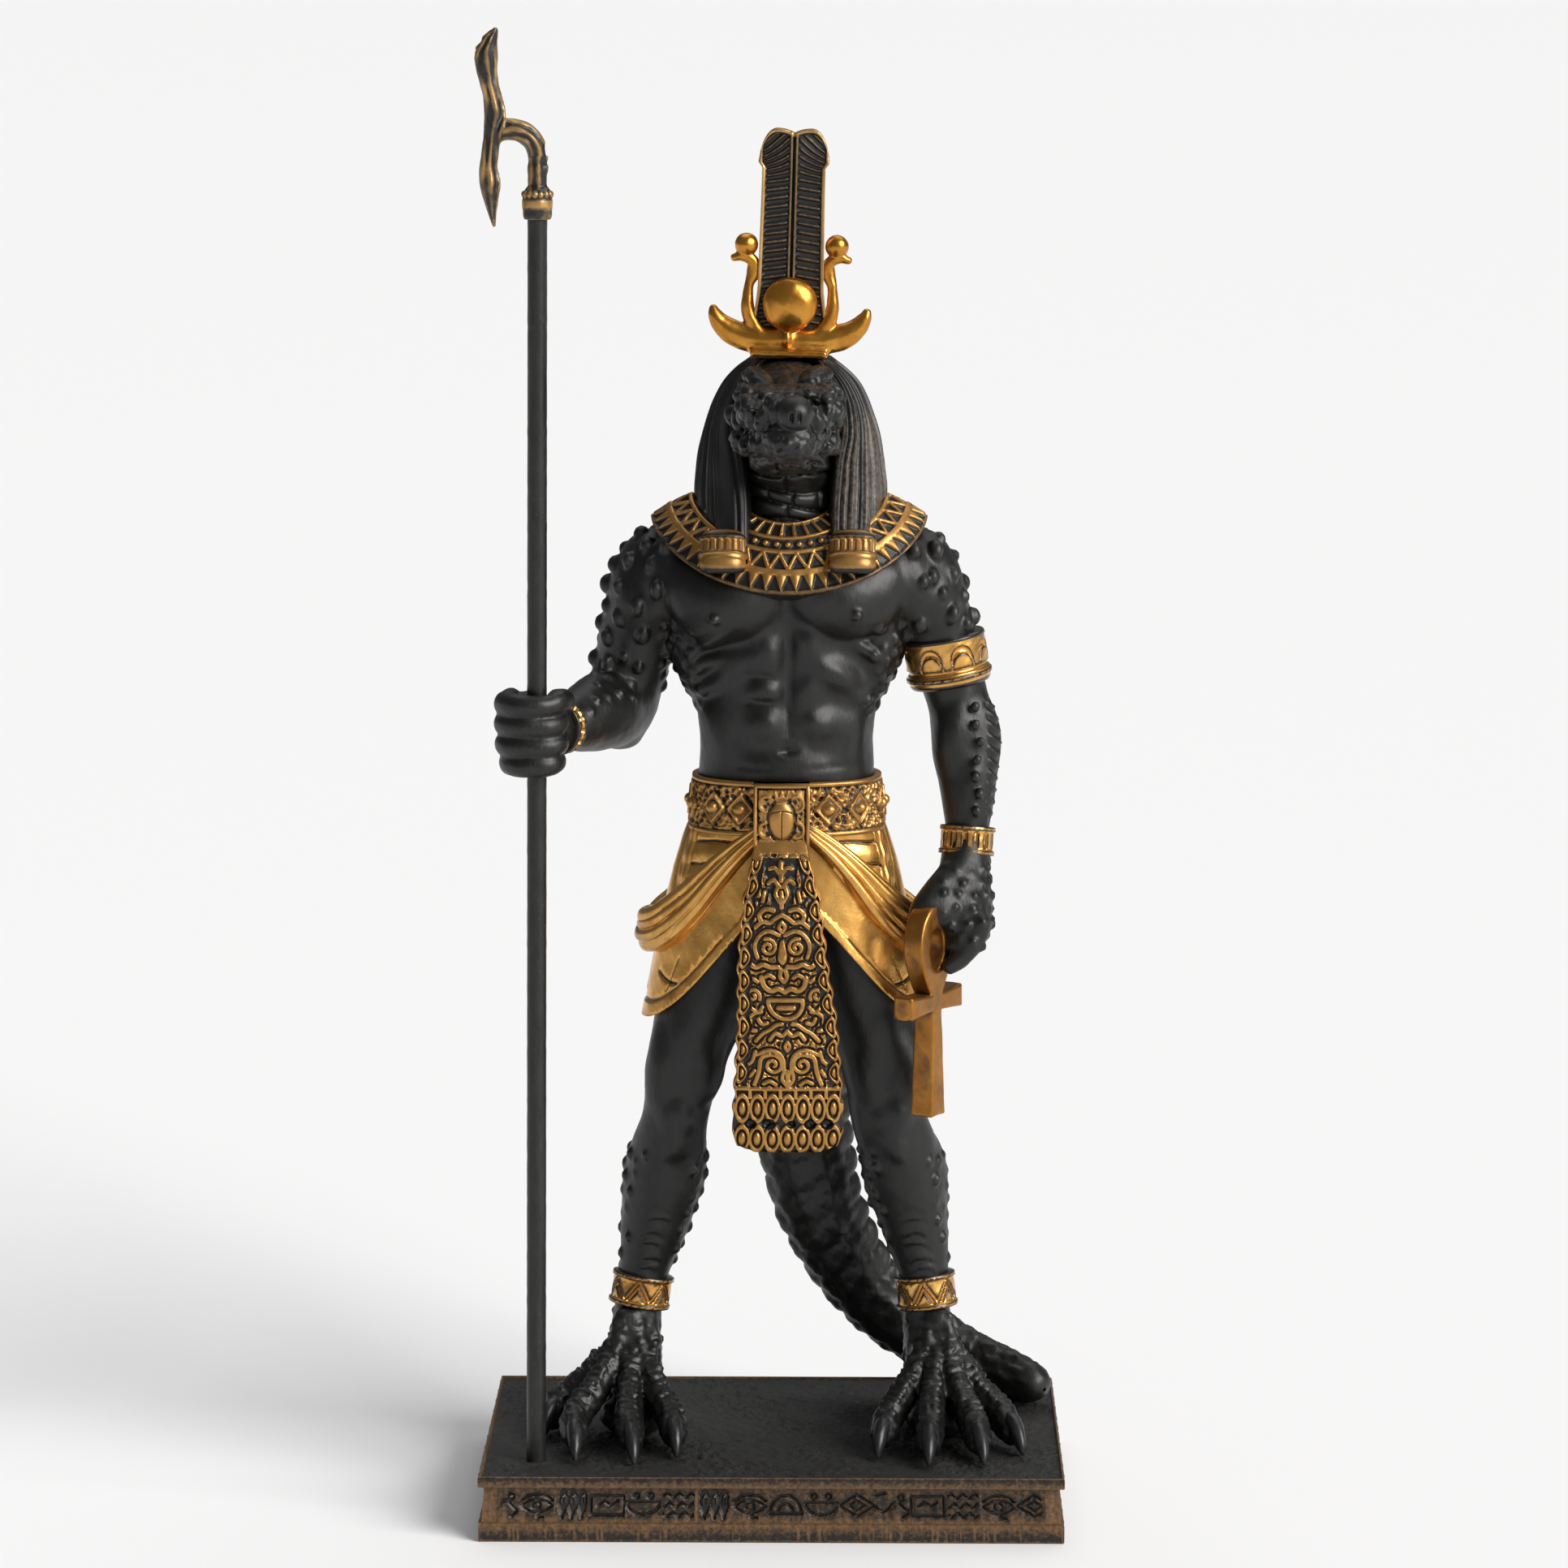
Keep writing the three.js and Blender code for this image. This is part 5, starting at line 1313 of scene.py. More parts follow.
def curve_distance(u, v, curve):
    """Distance from points u, v to an open line through the curve's places."""
    best = np.full(np.broadcast(u, v).shape, 99.0)
    for (ax, ay), (bx, by) in zip(curve[:-1], curve[1:]):
        dx, dy = bx - ax, by - ay
        t = np.clip(((u - ax) * dx + (v - ay) * dy) / (dx * dx + dy * dy + 1e-9), 0, 1)
        best = np.minimum(best, np.hypot(u - ax - t * dx, v - ay - t * dy))
    return best


def scroll(cx, cy, radius, start, sweep, shrink=0.75, steps=18):
    """A spiral line, from its outer end inwards; angles in degrees."""
    t = np.linspace(0, 1, steps)
    angle = np.radians(start + sweep * t)
    size = radius * (1 - shrink * t)
    return np.stack([cx + size * np.cos(angle), cy + size * np.sin(angle)], -1)


APRON = [
    # height, middle x, half width, face y
    [60.8, 0.3, 6.5, -16.9], [62, 0.4, 10.0, -17.2], [65, 0.5, 11.0, -17.5], [74, 0.6, 10.6, -18.0],
    [87, 0.4, 9.8, -18.0], [99, -0.5, 8.8, -17.6], [111, -0.7, 7.6, -16.4], [118.5, -0.9, 5.8, -14.4],
    [121.5, -0.9, 5.2, -12.4], [124, -0.9, 5.0, -10.6],
]


def rounded(line):
    """A line with its corners cut round; its ends stay."""
    for _ in range(3):
        early = line[:-1] * 0.75 + line[1:] * 0.25
        late = line[:-1] * 0.25 + line[1:] * 0.75
        inner = np.stack([early, late], 1).reshape(-1, 2)
        line = np.concatenate([line[:1], inner[1:-1], line[-1:]])
    return line


# Ornament of one half of the apron, from its middle line and lower edge: the width of a line, then
# the middle, radius, start, sweep and shrinking of a spiral or the places of a bar
SPIRALS = [
    (0.30, 2.9, 17.8, 2.1, 70, 520, 0.8), (0.34, 0.0, 30.4, 3.4, 180, 180, 0.0),
    (0.28, 6.3, 31.6, 1.5, 210, -430, 0.75), (0.28, 2.8, 41.2, 1.75, 70, 520, 0.8),
]
BARS = [
    (0.36, (3.6, 19.8), (5.4, 19.4), (5.6, 16.4), (6.6, 13.9)),
    (0.30, (0.4, 13.8), (1.3, 15.0), (0.6, 17.0), (0.9, 19.4), (2.2, 20.6), (4.2, 20.8), (6.0, 19.8)),
    (0.42, (0, 13.4), (0, 16.4)), (0.3, (6.4, 20.4), (6.9, 18.4), (7.9, 17.8)),
    (0.3, (6.6, 16.6), (7.4, 15.4), (8.3, 15.6)), (0.3, (2.4, 13.8), (3.6, 14.7), (4.8, 14.0)),
    (0.26, (0, 22.4), (0.6, 21.5), (0.0, 20.6)), (0.34, (0, 24.6), (1.0, 23.4), (2.4, 24.4), (3.4, 22.9)),
    (0.32, (1.0, 26.0), (2.2, 25.9), (3.4, 24.8), (4.8, 24.2), (6.2, 22.6)),
    (0.32, (3.9, 26.2), (5.0, 25.8), (5.6, 27.0)), (0.34, (6.2, 24.6), (7.4, 24.8), (7.2, 26.6)),
    (0.3, (4.9, 28.4), (6.4, 28.2), (7.6, 26.9)), (0.34, (0, 30.7), (3.4, 30.7)),
    (0.4, (0, 29.2), (1.5, 29.2)), (0.3, (4.6, 29.4), (5.6, 28.0), (7.6, 30.0)),
    (0.42, (0, 32.4), (1.3, 33.2), (2.6, 32.4), (4.0, 33.4), (4.4, 35.2)),
    (0.34, (0, 34.4), (0.8, 35.4), (0.4, 36.8)), (0.32, (1.9, 35.2), (2.8, 35.9), (3.6, 35.4)),
    (0.32, (5.2, 34.4), (6.2, 35.2), (7.2, 34.2)),
    (0.38, (0.9, 37.4), (2.4, 37.2), (4.0, 38.0), (5.4, 37.0), (6.6, 38.2)),
    (0.36, (0, 38.2), (0.6, 39.0), (0, 42.2)),
    (0.32, (4.9, 39.2), (5.6, 41.4), (4.6, 43.6), (2.6, 44.6), (0.6, 43.6)),
    (0.3, (6.6, 40.0), (6.2, 42.0), (6.9, 43.6)), (0.28, (0, 46.2), (0.8, 45.2), (0, 44.2)),
    (0.34, (0, 47.6), (1.5, 46.8), (2.4, 45.8), (3.8, 46.4), (5.4, 45.0)),
    (0.36, (1.6, 48.4), (3.2, 48.9), (4.6, 47.6), (4.2, 46.6)), (0.34, (5.0, 49.8), (5.9, 47.8), (5.4, 46.6)),
    (0.34, (0, 49.0), (0, 52.0)), (0.3, (0.3, 50.0), (1.3, 51.6), (0.7, 53.0)),
    (0.3, (0.3, 53.0), (1.5, 54.6), (2.5, 53.6)), (0.3, (0.2, 55.4), (1.1, 56.8), (2.2, 56.4)),
    (0.36, (0, 54.2), (0, 57.6)), (0.42, (4.5, 51.4), (5.0, 54.0), (4.3, 56.8)),
    (0.3, (3.7, 50.2), (3.3, 52.0)),
]


def apron_scrolls():
    """Lines of one half's ornament, each with its width."""
    spirals = [(scroll(*form), width) for width, *form in SPIRALS]
    return spirals + [(rounded(np.array(places, float)), width) for width, *places in BARS]


def apron(gold):
    """Carved front panel: outlined scrollwork, beaded borders and two rows of hanging beads."""
    rows_of = np.array(APRON)
    low, top = rows_of[0, 0], rows_of[-1, 0]
    rows, columns, back_columns, link_pitch, bead_pitch = 430, 176, 10, 4.6, 3.0
    z = np.linspace(low, top, rows)[:, None]
    middle, half, face = (np.interp(z, rows_of[:, 0], rows_of[:, i]) for i in (1, 2, 3))
    scallop = 0.28 * np.cos(2 * math.pi * (z - low) / link_pitch)
    half = half + scallop * ease((z - 66) / 4) * ease((118 - z) / 4)
    share = np.linspace(-1, 1, columns)[None, :]
    x = share * half
    u = np.abs(x)
    v = z - low + 0 * x
    outside = half - u
    art = np.full((rows, columns), 9.0)
    for line, width in apron_scrolls():
        art = np.minimum(art, curve_distance(u, v, line) - width * 1.1)
    shown = np.clip(0.95 - ridge(art - 0.30, 0.16, 0.14), 0, 1)
    flat = join_axes(x, v, 0.0)
    near, second = (away.reshape(rows, columns) for away in pebbles(flat.reshape(-1, 3), 2.1, 41, 0.9))
    pocket = ease((dome(near, 0.75) - 0.3) / 0.3) * (art > 0.7)
    web = (1 - ease((second - near - 0.1) / 0.12)) * (art > 0.65)
    shown = shown - 0.9 * pocket - 0.5 * web
    plain = ease((v - 59.0) / 0.3)
    dark_field = (u < 3.6 - 0.16 * (58.4 - v)) & between(v, 48.6, 58.4)
    shown = np.where(dark_field, np.where(art < 0.05, 0.95, 0.05), shown)
    shown = shown * (1 - plain) + 0.9 * plain
    side_on = between(v, 13.5, 58)
    link = np.hypot(repeat(v, link_pitch) / 1.75, (outside - 1.15) / 0.75)
    border_zone = (outside < 2.3) & side_on
    border = np.maximum(dome(link, 0.62) ** 0.6, ridge(link - 1.05, 0.16, 0.12))
    border = np.maximum(border, ridge(outside - 0.12, 0.26, 0.12))
    shown = np.where(border_zone, border, shown)
    shown = np.where((np.abs(outside - 2.45) < 0.2) & side_on, 0.1, shown)
    beads_zone = v < 12.6
    across = repeat(x + bead_pitch / 2, bead_pitch)
    drop = np.hypot(across / 1.35, (v - 2.7) / 2.5)
    lower = np.maximum(dome(drop, 0.58) ** 0.5, ridge(drop - 0.98, 0.16, 0.1))
    stem = np.hypot(across / 1.3, (v - 8.9) / 2.6)
    upper = np.maximum(dome(stem, 0.55) ** 0.5, ridge(stem - 0.98, 0.16, 0.1))
    upper = np.maximum(upper, ridge(repeat(x, bead_pitch), 0.3, 0.15) * (v > 10.8))
    shown = np.where(beads_zone, np.maximum(lower * (v < 5.6), upper * (v >= 5.6)), shown)
    hole = 0.0
    for hole_x, size in ((-7.3, 1.0), (-3.7, 1.15), (0.7, 0.8), (4.4, 1.05), (7.8, 1.1)):
        hole = np.maximum(hole, dome(np.hypot((x - hole_x) * 0.85, v - 5.7), size))
    shown = np.maximum(shown, ridge(v - 12.9, 0.3, 0.2) * (outside > 0.3))
    grow = 0.75 * shown + 0.35 * dome(drop, 0.58) * (v < 5.6)
    grow = grow + 0.35 * dome(stem, 0.55) * beads_zone * (v > 5.6)
    grow = grow + 0.3 * dome(link, 0.62) * border_zone
    lift = (grow - 0.8 * hole + 0.08 * waves(flat, 3.0)) * ease(outside / 0.25 + 0.2)
    surface = join_axes(middle + x, face + 0.06 * half * share ** 2 - lift, z)
    rear = join_axes(middle + np.linspace(1, -1, back_columns)[None, :] * half, face + 2.6, z)
    points, quads = closed_tube(np.concatenate([surface, rear], 1))
    relief = np.concatenate([shown - 0.9 * (hole > 0), np.full((rows, back_columns), 0.3)], 1)
    figure_piece("apron", points, quads, gold, relief=with_ends(relief, 0.3, 0.3).clip(0, 1))


# Cuffs


def cuff(gold, name, start, end, radius, pattern):
    """A raised band round a limb, with a rolled rim at each edge."""
    start, end = np.asarray(start, float), np.asarray(end, float)
    length = np.linalg.norm(end - start)
    rows = [[*start, radius - 0.9, radius - 0.9], [*(start + (end - start) * 0.02), radius, radius],
            [*(start + (end - start) * 0.98), radius, radius], [*end, radius - 0.9, radius - 0.9]]

    def lift(along, angle):
        rims = ridge(along - 0.6, 0.38, 0.2) + ridge(along - length + 0.6, 0.38, 0.2)
        worn = 0.05 * np.sin(angle * 9 + along) * np.sin(along * 1.7 + angle * 4)
        return 0.4 * np.clip(rims, 0, 1) + pattern(along / length, angle * radius) + worn

    step = 0.16
    columns = int(radius * 2 * math.pi / step)
    points, quads = closed_tube(swept(rows, columns, step, (0.1, -1, 0.1), 2.0, lift))
    figure_piece(name, points, quads, gold, relief=(0.75 + 9 * hollows(points, quads, 5)).clip(0, 1))


def zigzag_cut(share, arc):
    """Double incised zigzag."""
    wave = 0.62 * np.abs(repeat(arc, 5.4)) / 2.7
    cut = ridge((share - 0.16 - wave) * 7, 0.26, 0.35) + ridge((share - 0.36 - wave) * 7, 0.26, 0.35)
    return -0.55 * np.clip(cut, 0, 1) * window(share, 0.17, 0.83, 0.03)


def ribs_cut(share, arc):
    """Broad upright ribs with equal gaps."""
    return -0.6 * window(share, 0.2, 0.8, 0.04) * (1 - ridge(repeat(arc, 2.3), 0.68, 0.18))


def humps_cut(share, arc):
    """Low incised mounds in a row."""
    wave = repeat(arc + 1.5, 6.6)
    rise = 0.78 - share
    mound = ridge((rise - 0.04 - 0.42 * dome(wave, 2.3) ** 0.7) * 8, 0.32, 0.4)
    mound = mound * window(np.abs(wave), -1, 2.6, 0.2)
    ground = ridge(rise * 8, 0.15, 0.35)
    return -0.5 * np.clip(mound + ground, 0, 1) * window(share, 0.14, 0.86, 0.03)


def cuffs(gold):
    for name, start, end, radius, pattern in (
            ("armlet", (31.1, 4.9, 160.5), (32.6, 5.1, 151.6), 8.1, humps_cut),
            ("bracelet_right", (36.1, -0.3, 123.4), (35.7, -1.4, 117.6), 5.1, ribs_cut),
            ("bracelet_left", (-43.4, -15.2, 145.5), (-44.8, -18.4, 145.5), 4.9, ribs_cut),
            ("anklet_left", (-28.8, 4.8, 30.6), (-29.9, 4.2, 24), 5.8, zigzag_cut),
            ("anklet_right", (27.8, 4.8, 30.8), (28.6, 4.2, 23.8), 5.8, zigzag_cut)):
        cuff(gold, name, start, end, radius, pattern)


# Crown, made upright at its seat and then tilted as a whole


def set_crown(points):
    """Leans the crown to the viewer's right on its seat."""
    x, y, z = points.T
    c, s = math.cos(CROWN_TILT), math.sin(CROWN_TILT)
    lift = PLATE_W / 2 * math.sin(CROWN_TILT) + 0.3
    return carve(join_axes(x * c + z * s, y, z * c - x * s) + np.array([0.5, -1.0, SEAT_Z + lift]))


def crown_base(gold):
    """Plate, horns, sun disc, cobras and balls."""
    clay = Clay((-18.5, -6.5, -1), (18.5, 4.5, 27), 0.25)
    half, edge, low = HORN_SPAN / 2, PLUME_W / 2, PLATE_T + HORN_SPAN * 0.13
    plate = np.array([PLATE_W / 2, PLATE_D / 2, PLATE_T / 2]) - 0.35
    slices, grids = clay.part((-9, -6, -1), (9, 6, 3))
    gap = [np.abs(g - c) - s for g, c, s in zip(grids, (0, 0, PLATE_T / 2), plate)]
    outside = np.sqrt(sum(np.maximum(g, 0) ** 2 for g in gap))
    clay.blend(slices, (outside + np.minimum(np.maximum(np.maximum(*gap[:2]), gap[2]), 0) - 0.35), 0)
    horn = ((0.35, -0.2, 3.0, 2.7, 2.2), (0.62, 0, 3.9, 2.6, 2.1), (0.8, 0, 5.6, 2.1, 1.8),
            (0.9, 0, 7.6, 1.4, 1.4), (0.93, 0, 9.0, 0.8, 0.8))
    cobra = ((0.75, -0.3, -2, 1.4, 1.5), (1.08, -0.5, 1, 1.5, 1.4), (1.22, -0.4, 4, 1.3, 1.3),
             (1.2, -0.2, 8, 0.95, 1.1), (1.08, -0.2, 10.6, 1.35, 1.0), (1.1, -0.2, 12.8, 1.2, 1.1),
             (1.38, -0.3, 13.8, 1.05, 1.1), (1.66, -0.4, 13.4, 0.7, 0.8))
    for side in (LEFT, RIGHT):
        clay.limb([[0, -0.3, 3.0, 2.7, 2.2]] + [[side * half * x, *row] for x, *row in horn], 1.0)
        clay.limb([[side * edge * x, y, low + z, *radii] for x, y, z, *radii in cobra], 0.6)
        clay.muscle((side * edge * 1.3, 0, low + 13.9 + BALL_R * 0.92), (BALL_R,) * 3, soft=0.3)
    height = PLATE_T + HORN_SPAN * 0.135 + SUN_R * 0.82
    clay.muscle((0, -PLUME_T / 2 - 0.3, height), (SUN_R * 0.96, SUN_R * 0.55, SUN_R * 0.96), soft=0.3)
    clay.muscle((-0.4, -2.6, 3.4), (0.7, 0.9, 1.5), soft=0.8)
    clay.emboss(lambda p: 0.08 * waves(p, 2.4, 0.5) + 0.03 * waves(p, 0.9, 1.5))
    points, quads = clay.mesh()
    relief = 0.8 + 3.0 * hollows(points, quads, 8)
    make_piece("crown_base", set_crown(points), quads, gold, "crown", relief=relief.clip(0, 1))


def plumes(feather):
    """Two tall plumes side by side, barbed, with thin raised rims and a double rib."""
    base = PLATE_T + HORN_SPAN * 0.06
    half, lobe, lobe_z = PLUME_W / 2, PLUME_W / 2 * 0.47, PLUME_H - 7.2
    rows, columns, back_columns = 330, 110, 60
    v = np.linspace(0, 1, rows)[:, None] * PLUME_H
    width = half * (0.955 - 0.05 * ease(v / lobe_z)) + 1.0 * ease((11 - v) / 11)
    width = width + 0.75 * ease((v - (lobe_z - 0.6)) / 1.4)

    def side_of(share, face):
        x = share * width
        u = np.abs(x)
        crest = PLUME_H - 0.9 + 0.9 * np.cos(np.clip((u - lobe) / lobe, -1, 1) * math.pi / 2) ** 0.8
        corner = np.clip((u - lobe * 1.05) / (half - lobe * 1.05), 0, 1) ** 2.2
        crest = crest - 5.4 * (1 - np.sqrt(np.clip(1 - corner, 0, 1)))
        edge = np.minimum(width - u, (crest - v) * 0.9)
        rim = ridge(edge - 0.3, 0.28, 0.2) * (edge > -0.2)
        rib = ridge(u - 0.5, 0.16, 0.2)
        groove = ridge(u, 0.1, 0.2)
        fan = 0.15 + 0.75 * ease((v - lobe_z + 4) / 8)
        barb = ease(1 - np.abs(repeat(v + fan * u, 1.7)) / 0.66)
        inside = ease((edge - 0.7) / 0.3) * ease((u - 0.8) / 0.3)
        lift = 0.7 * np.clip(rim + rib, 0, 1) + 0.5 * barb * inside - 0.4 * groove
        shown = np.clip(rim * 0.95 + rib * 0.5, 0, 1) + 0.42 * barb * inside * face
        return join_axes(x, 0.4 - face * (PLUME_T / 2 - 0.75 + lift), base + np.minimum(v, crest)), shown

    front, shown_front = side_of(np.linspace(-1, 1, columns)[None, :], 1)
    rear, shown_rear = side_of(np.linspace(1, -1, back_columns)[None, :], -1)
    points, quads = closed_tube(np.concatenate([front, rear], 1))
    relief = with_ends(np.concatenate([shown_front, shown_rear], 1), 0.0, 0.5)
    make_piece("plumes", set_crown(points), quads, feather, "crown", relief=relief)


# Staff


def staff_place(x, z):
    """A place beside the leaning staff's axis, in the object's frame."""
    c, s = math.cos(STAFF_LEAN), math.sin(STAFF_LEAN)
    along = z - STAFF_FOOT
    return join_axes(STAFF_X + x * c + along * s, STAFF_Y + 0 * z, STAFF_FOOT - x * s + along * c)


def staff_rod(black):
    """Plain rod from its socket in the plinth to the cast head."""
    heights = np.linspace(STAFF_FOOT, STAFF_FOOT + STAFF_LENGTH, 180)
    angle = np.arange(40) / 40 * 2 * math.pi
    rough = 0.03 * np.sin(heights * 0.31) * np.sin(heights * 1.7)
    radius = (STAFF_D / 2 - 0.05 + rough)[:, None]
    ring = join_axes(radius * np.cos(angle), radius * np.sin(angle), 0.0)
    points, quads = closed_tube(staff_place(0.0, heights)[:, None] + ring)
    make_piece("staff_rod_skin", points, quads, black, "staff_rod", smooth=50, rub=np.full(len(points), 0.22))


STAFF_BLADE = [
    # x, height, half width
    [-8.3, -0.8, 0.35], [-8.7, 2.2, 1.0], [-8.9, 4.4, 1.5], [-9.1, 7.0, 1.95], [-9.5, 10.0, 1.75],
    [-9.1, 12.7, 1.7], [-8.7, 15.4, 1.6], [-8.3, 18.0, 1.9], [-8.2, 20.6, 2.0], [-8.6, 23.2, 1.8],
    [-9.2, 25.8, 1.8], [-9.7, 28.4, 1.95], [-9.8, 30.3, 2.1], [-9.7, 32.1, 2.0], [-8.8, 34.8, 1.2],
    [-8.0, 36.2, 0.5],
]


def staff_flow(points):
    """Lengthwise ridges of the blade and of the hook, from -1 in a groove to 1 on a ridge."""
    x, z = points[:, 0], points[:, 2]
    blade = np.array(STAFF_BLADE)
    along_blade = (x - np.interp(z, blade[:, 1], blade[:, 0])) / np.interp(z, blade[:, 1], blade[:, 2])
    bend = np.where(z > 12.4, np.hypot(x + 4.6, z - 12.4) - 4.9, x)
    across = np.where(np.abs(along_blade) < 1.12, along_blade, bend / 1.9)
    strength = (0.6 + 0.7 * waves(points, 3.0, 0.6)).clip(0.05, 1)
    return strength * np.cos(across * 7.2 - 1.0 + 0.8 * np.sin(z * 0.45) + 1.3 * waves(points, 3.6))


def staff_head(metal):
    """Cast head of the staff: a forked animal form over a beaded socket."""
    base = STAFF_FOOT + STAFF_LENGTH - 2.6
    clay = Clay((-13.5, -3.5, -2.0), (4.2, 3.5, 39.5), 0.22)
    hook = [[-7.6, 17.0, 1.9], [-5.3, 17.4, 2.1], [-2.9, 16.7, 2.15], [-0.9, 15.0, 2.05], [0, 12.4, 1.85],
            [0, 10, 1.8], [0, 5, 1.8]]
    for rows in (STAFF_BLADE, hook):
        clay.limb([[x, 0, z, wide, 0.55 + 0.72 * wide] for x, z, wide in rows], 0.9, spacing=0.35)
    for low, high, radius in ((1.3, 1.9, 2.8), (2.9, 3.6, 2.95), (4.4, 5.2, 2.6), (9.6, 10.2, 2.0)):
        clay.limb([[0, 0, low, radius, radius], [0, 0, high, radius, radius]], 0.15, spacing=0.2)
    for index in range(15):
        angle = index / 15 * 2 * math.pi
        clay.muscle((2.55 * math.cos(angle), 2.55 * math.sin(angle), 5.1), (0.6, 0.6, 0.72), soft=0.12)
    clay.emboss(lambda p: 0.24 * staff_flow(p) * ease((p[:, 2] - 6) / 2 + (p[:, 0] < -5))
                + 0.05 * waves(p, 1.1))
    clay.cut(lambda x, y, z: np.maximum(z - 0.3, -4.5 - x))
    points, quads = clay.mesh()
    x, y, z = points.T
    socket = (x > -5) & (z < 6)
    hollow = hollows(points, quads, 6)
    worn = 0.25 * waves(points, 4.0, 0.9) + 0.12 * waves(points, 1.3, 0.2)
    body = 0.34 + 0.30 * staff_flow(points) + 1.6 * hollow
    relief = np.where(socket, 0.42 + 3.5 * hollow, body) + worn
    relief += 0.5 * socket * ridge(z - 3.3, 0.5, 0.2) - 0.3 * ease((2.3 - z) / 0.5) * socket
    placed = staff_place(x, base + z)
    placed[:, 1] += y
    make_piece("staff_head_cast", placed, quads, metal, "staff_head", relief=relief.clip(0, 1))


# Ankh


def ankh(gold):
    """Thick ankh with softened edges; its stem flares towards the foot."""
    stem, half, soft = ANKH_H * 0.55, ANKH_ARM / 2, 0.55
    rise = ANKH_H - stem
    clay = Clay((-ANKH_SPAN / 2 - 1, -4, -stem - 1), (ANKH_SPAN / 2 + 1, 4, rise + 1), 0.25)
    slices, (x, y, z) = clay.part(clay.low, (ANKH_SPAN, 5, ANKH_H))
    drop = np.clip(-z / stem, 0, 1)
    bar = np.maximum(np.abs(x) - half * (0.9 + 0.46 * drop), np.maximum(z - half, -stem - z))
    cross_half = half * (0.95 + 0.3 * np.clip(np.abs(x) / (ANKH_SPAN / 2), 0, 1) ** 2)
    cross = np.maximum(np.abs(x) - ANKH_SPAN / 2, np.abs(z) - cross_half)
    loop_centre = rise * 0.60
    ring_x = ANKH_LOOP / 2 - half * 0.9
    ring_z = (rise * 0.40 - half * 0.9) * np.where(z < loop_centre, 1.35, 1)
    narrow = 1 - 0.45 * np.clip((loop_centre - z) / loop_centre, 0, 1) ** 1.3
    reach = np.sqrt((x / narrow / ring_x) ** 2 + ((z - loop_centre) / ring_z) ** 2)
    loop = (np.abs(reach - 1) * ring_x * 0.92) - half * 0.9
    flat = np.minimum(np.minimum(bar, cross), loop) + soft
    slab = np.abs(y) - ANKH_T / 2 * (0.86 + 0.14 * drop) + soft
    outer = np.sqrt(np.maximum(flat, 0) ** 2 + np.maximum(slab, 0) ** 2)
    clay.field[slices] = (np.minimum(np.maximum(flat, slab), 0) + outer - soft).astype(np.float32)
    clay.emboss(lambda p: 0.05 * waves(p, 2.2, 1.0))
    points, quads = clay.mesh()
    worn = 0.26 * waves(points, 3.4, 0.7) + 0.16 * waves(points, 1.2, 0.3)
    relief = (0.70 + worn + 3.5 * hollows(points, quads, 8)).clip(0, 1)
    x, y, z = points.T
    c, s = math.cos(ANKH_TURN), math.sin(ANKH_TURN)
    placed = carve(join_axes(x * c - y * s, x * s + y * c, z) + ANKH_AT)
    make_piece("ankh_cast", placed, quads, gold, "ankh", relief=relief)


# Plinth


# Order of the cut marks along a side
MARKS = (6, 0, 4, 7, 3, 2, 4, 0, 5, 3, 1, 6, 7, 2, 0, 1)


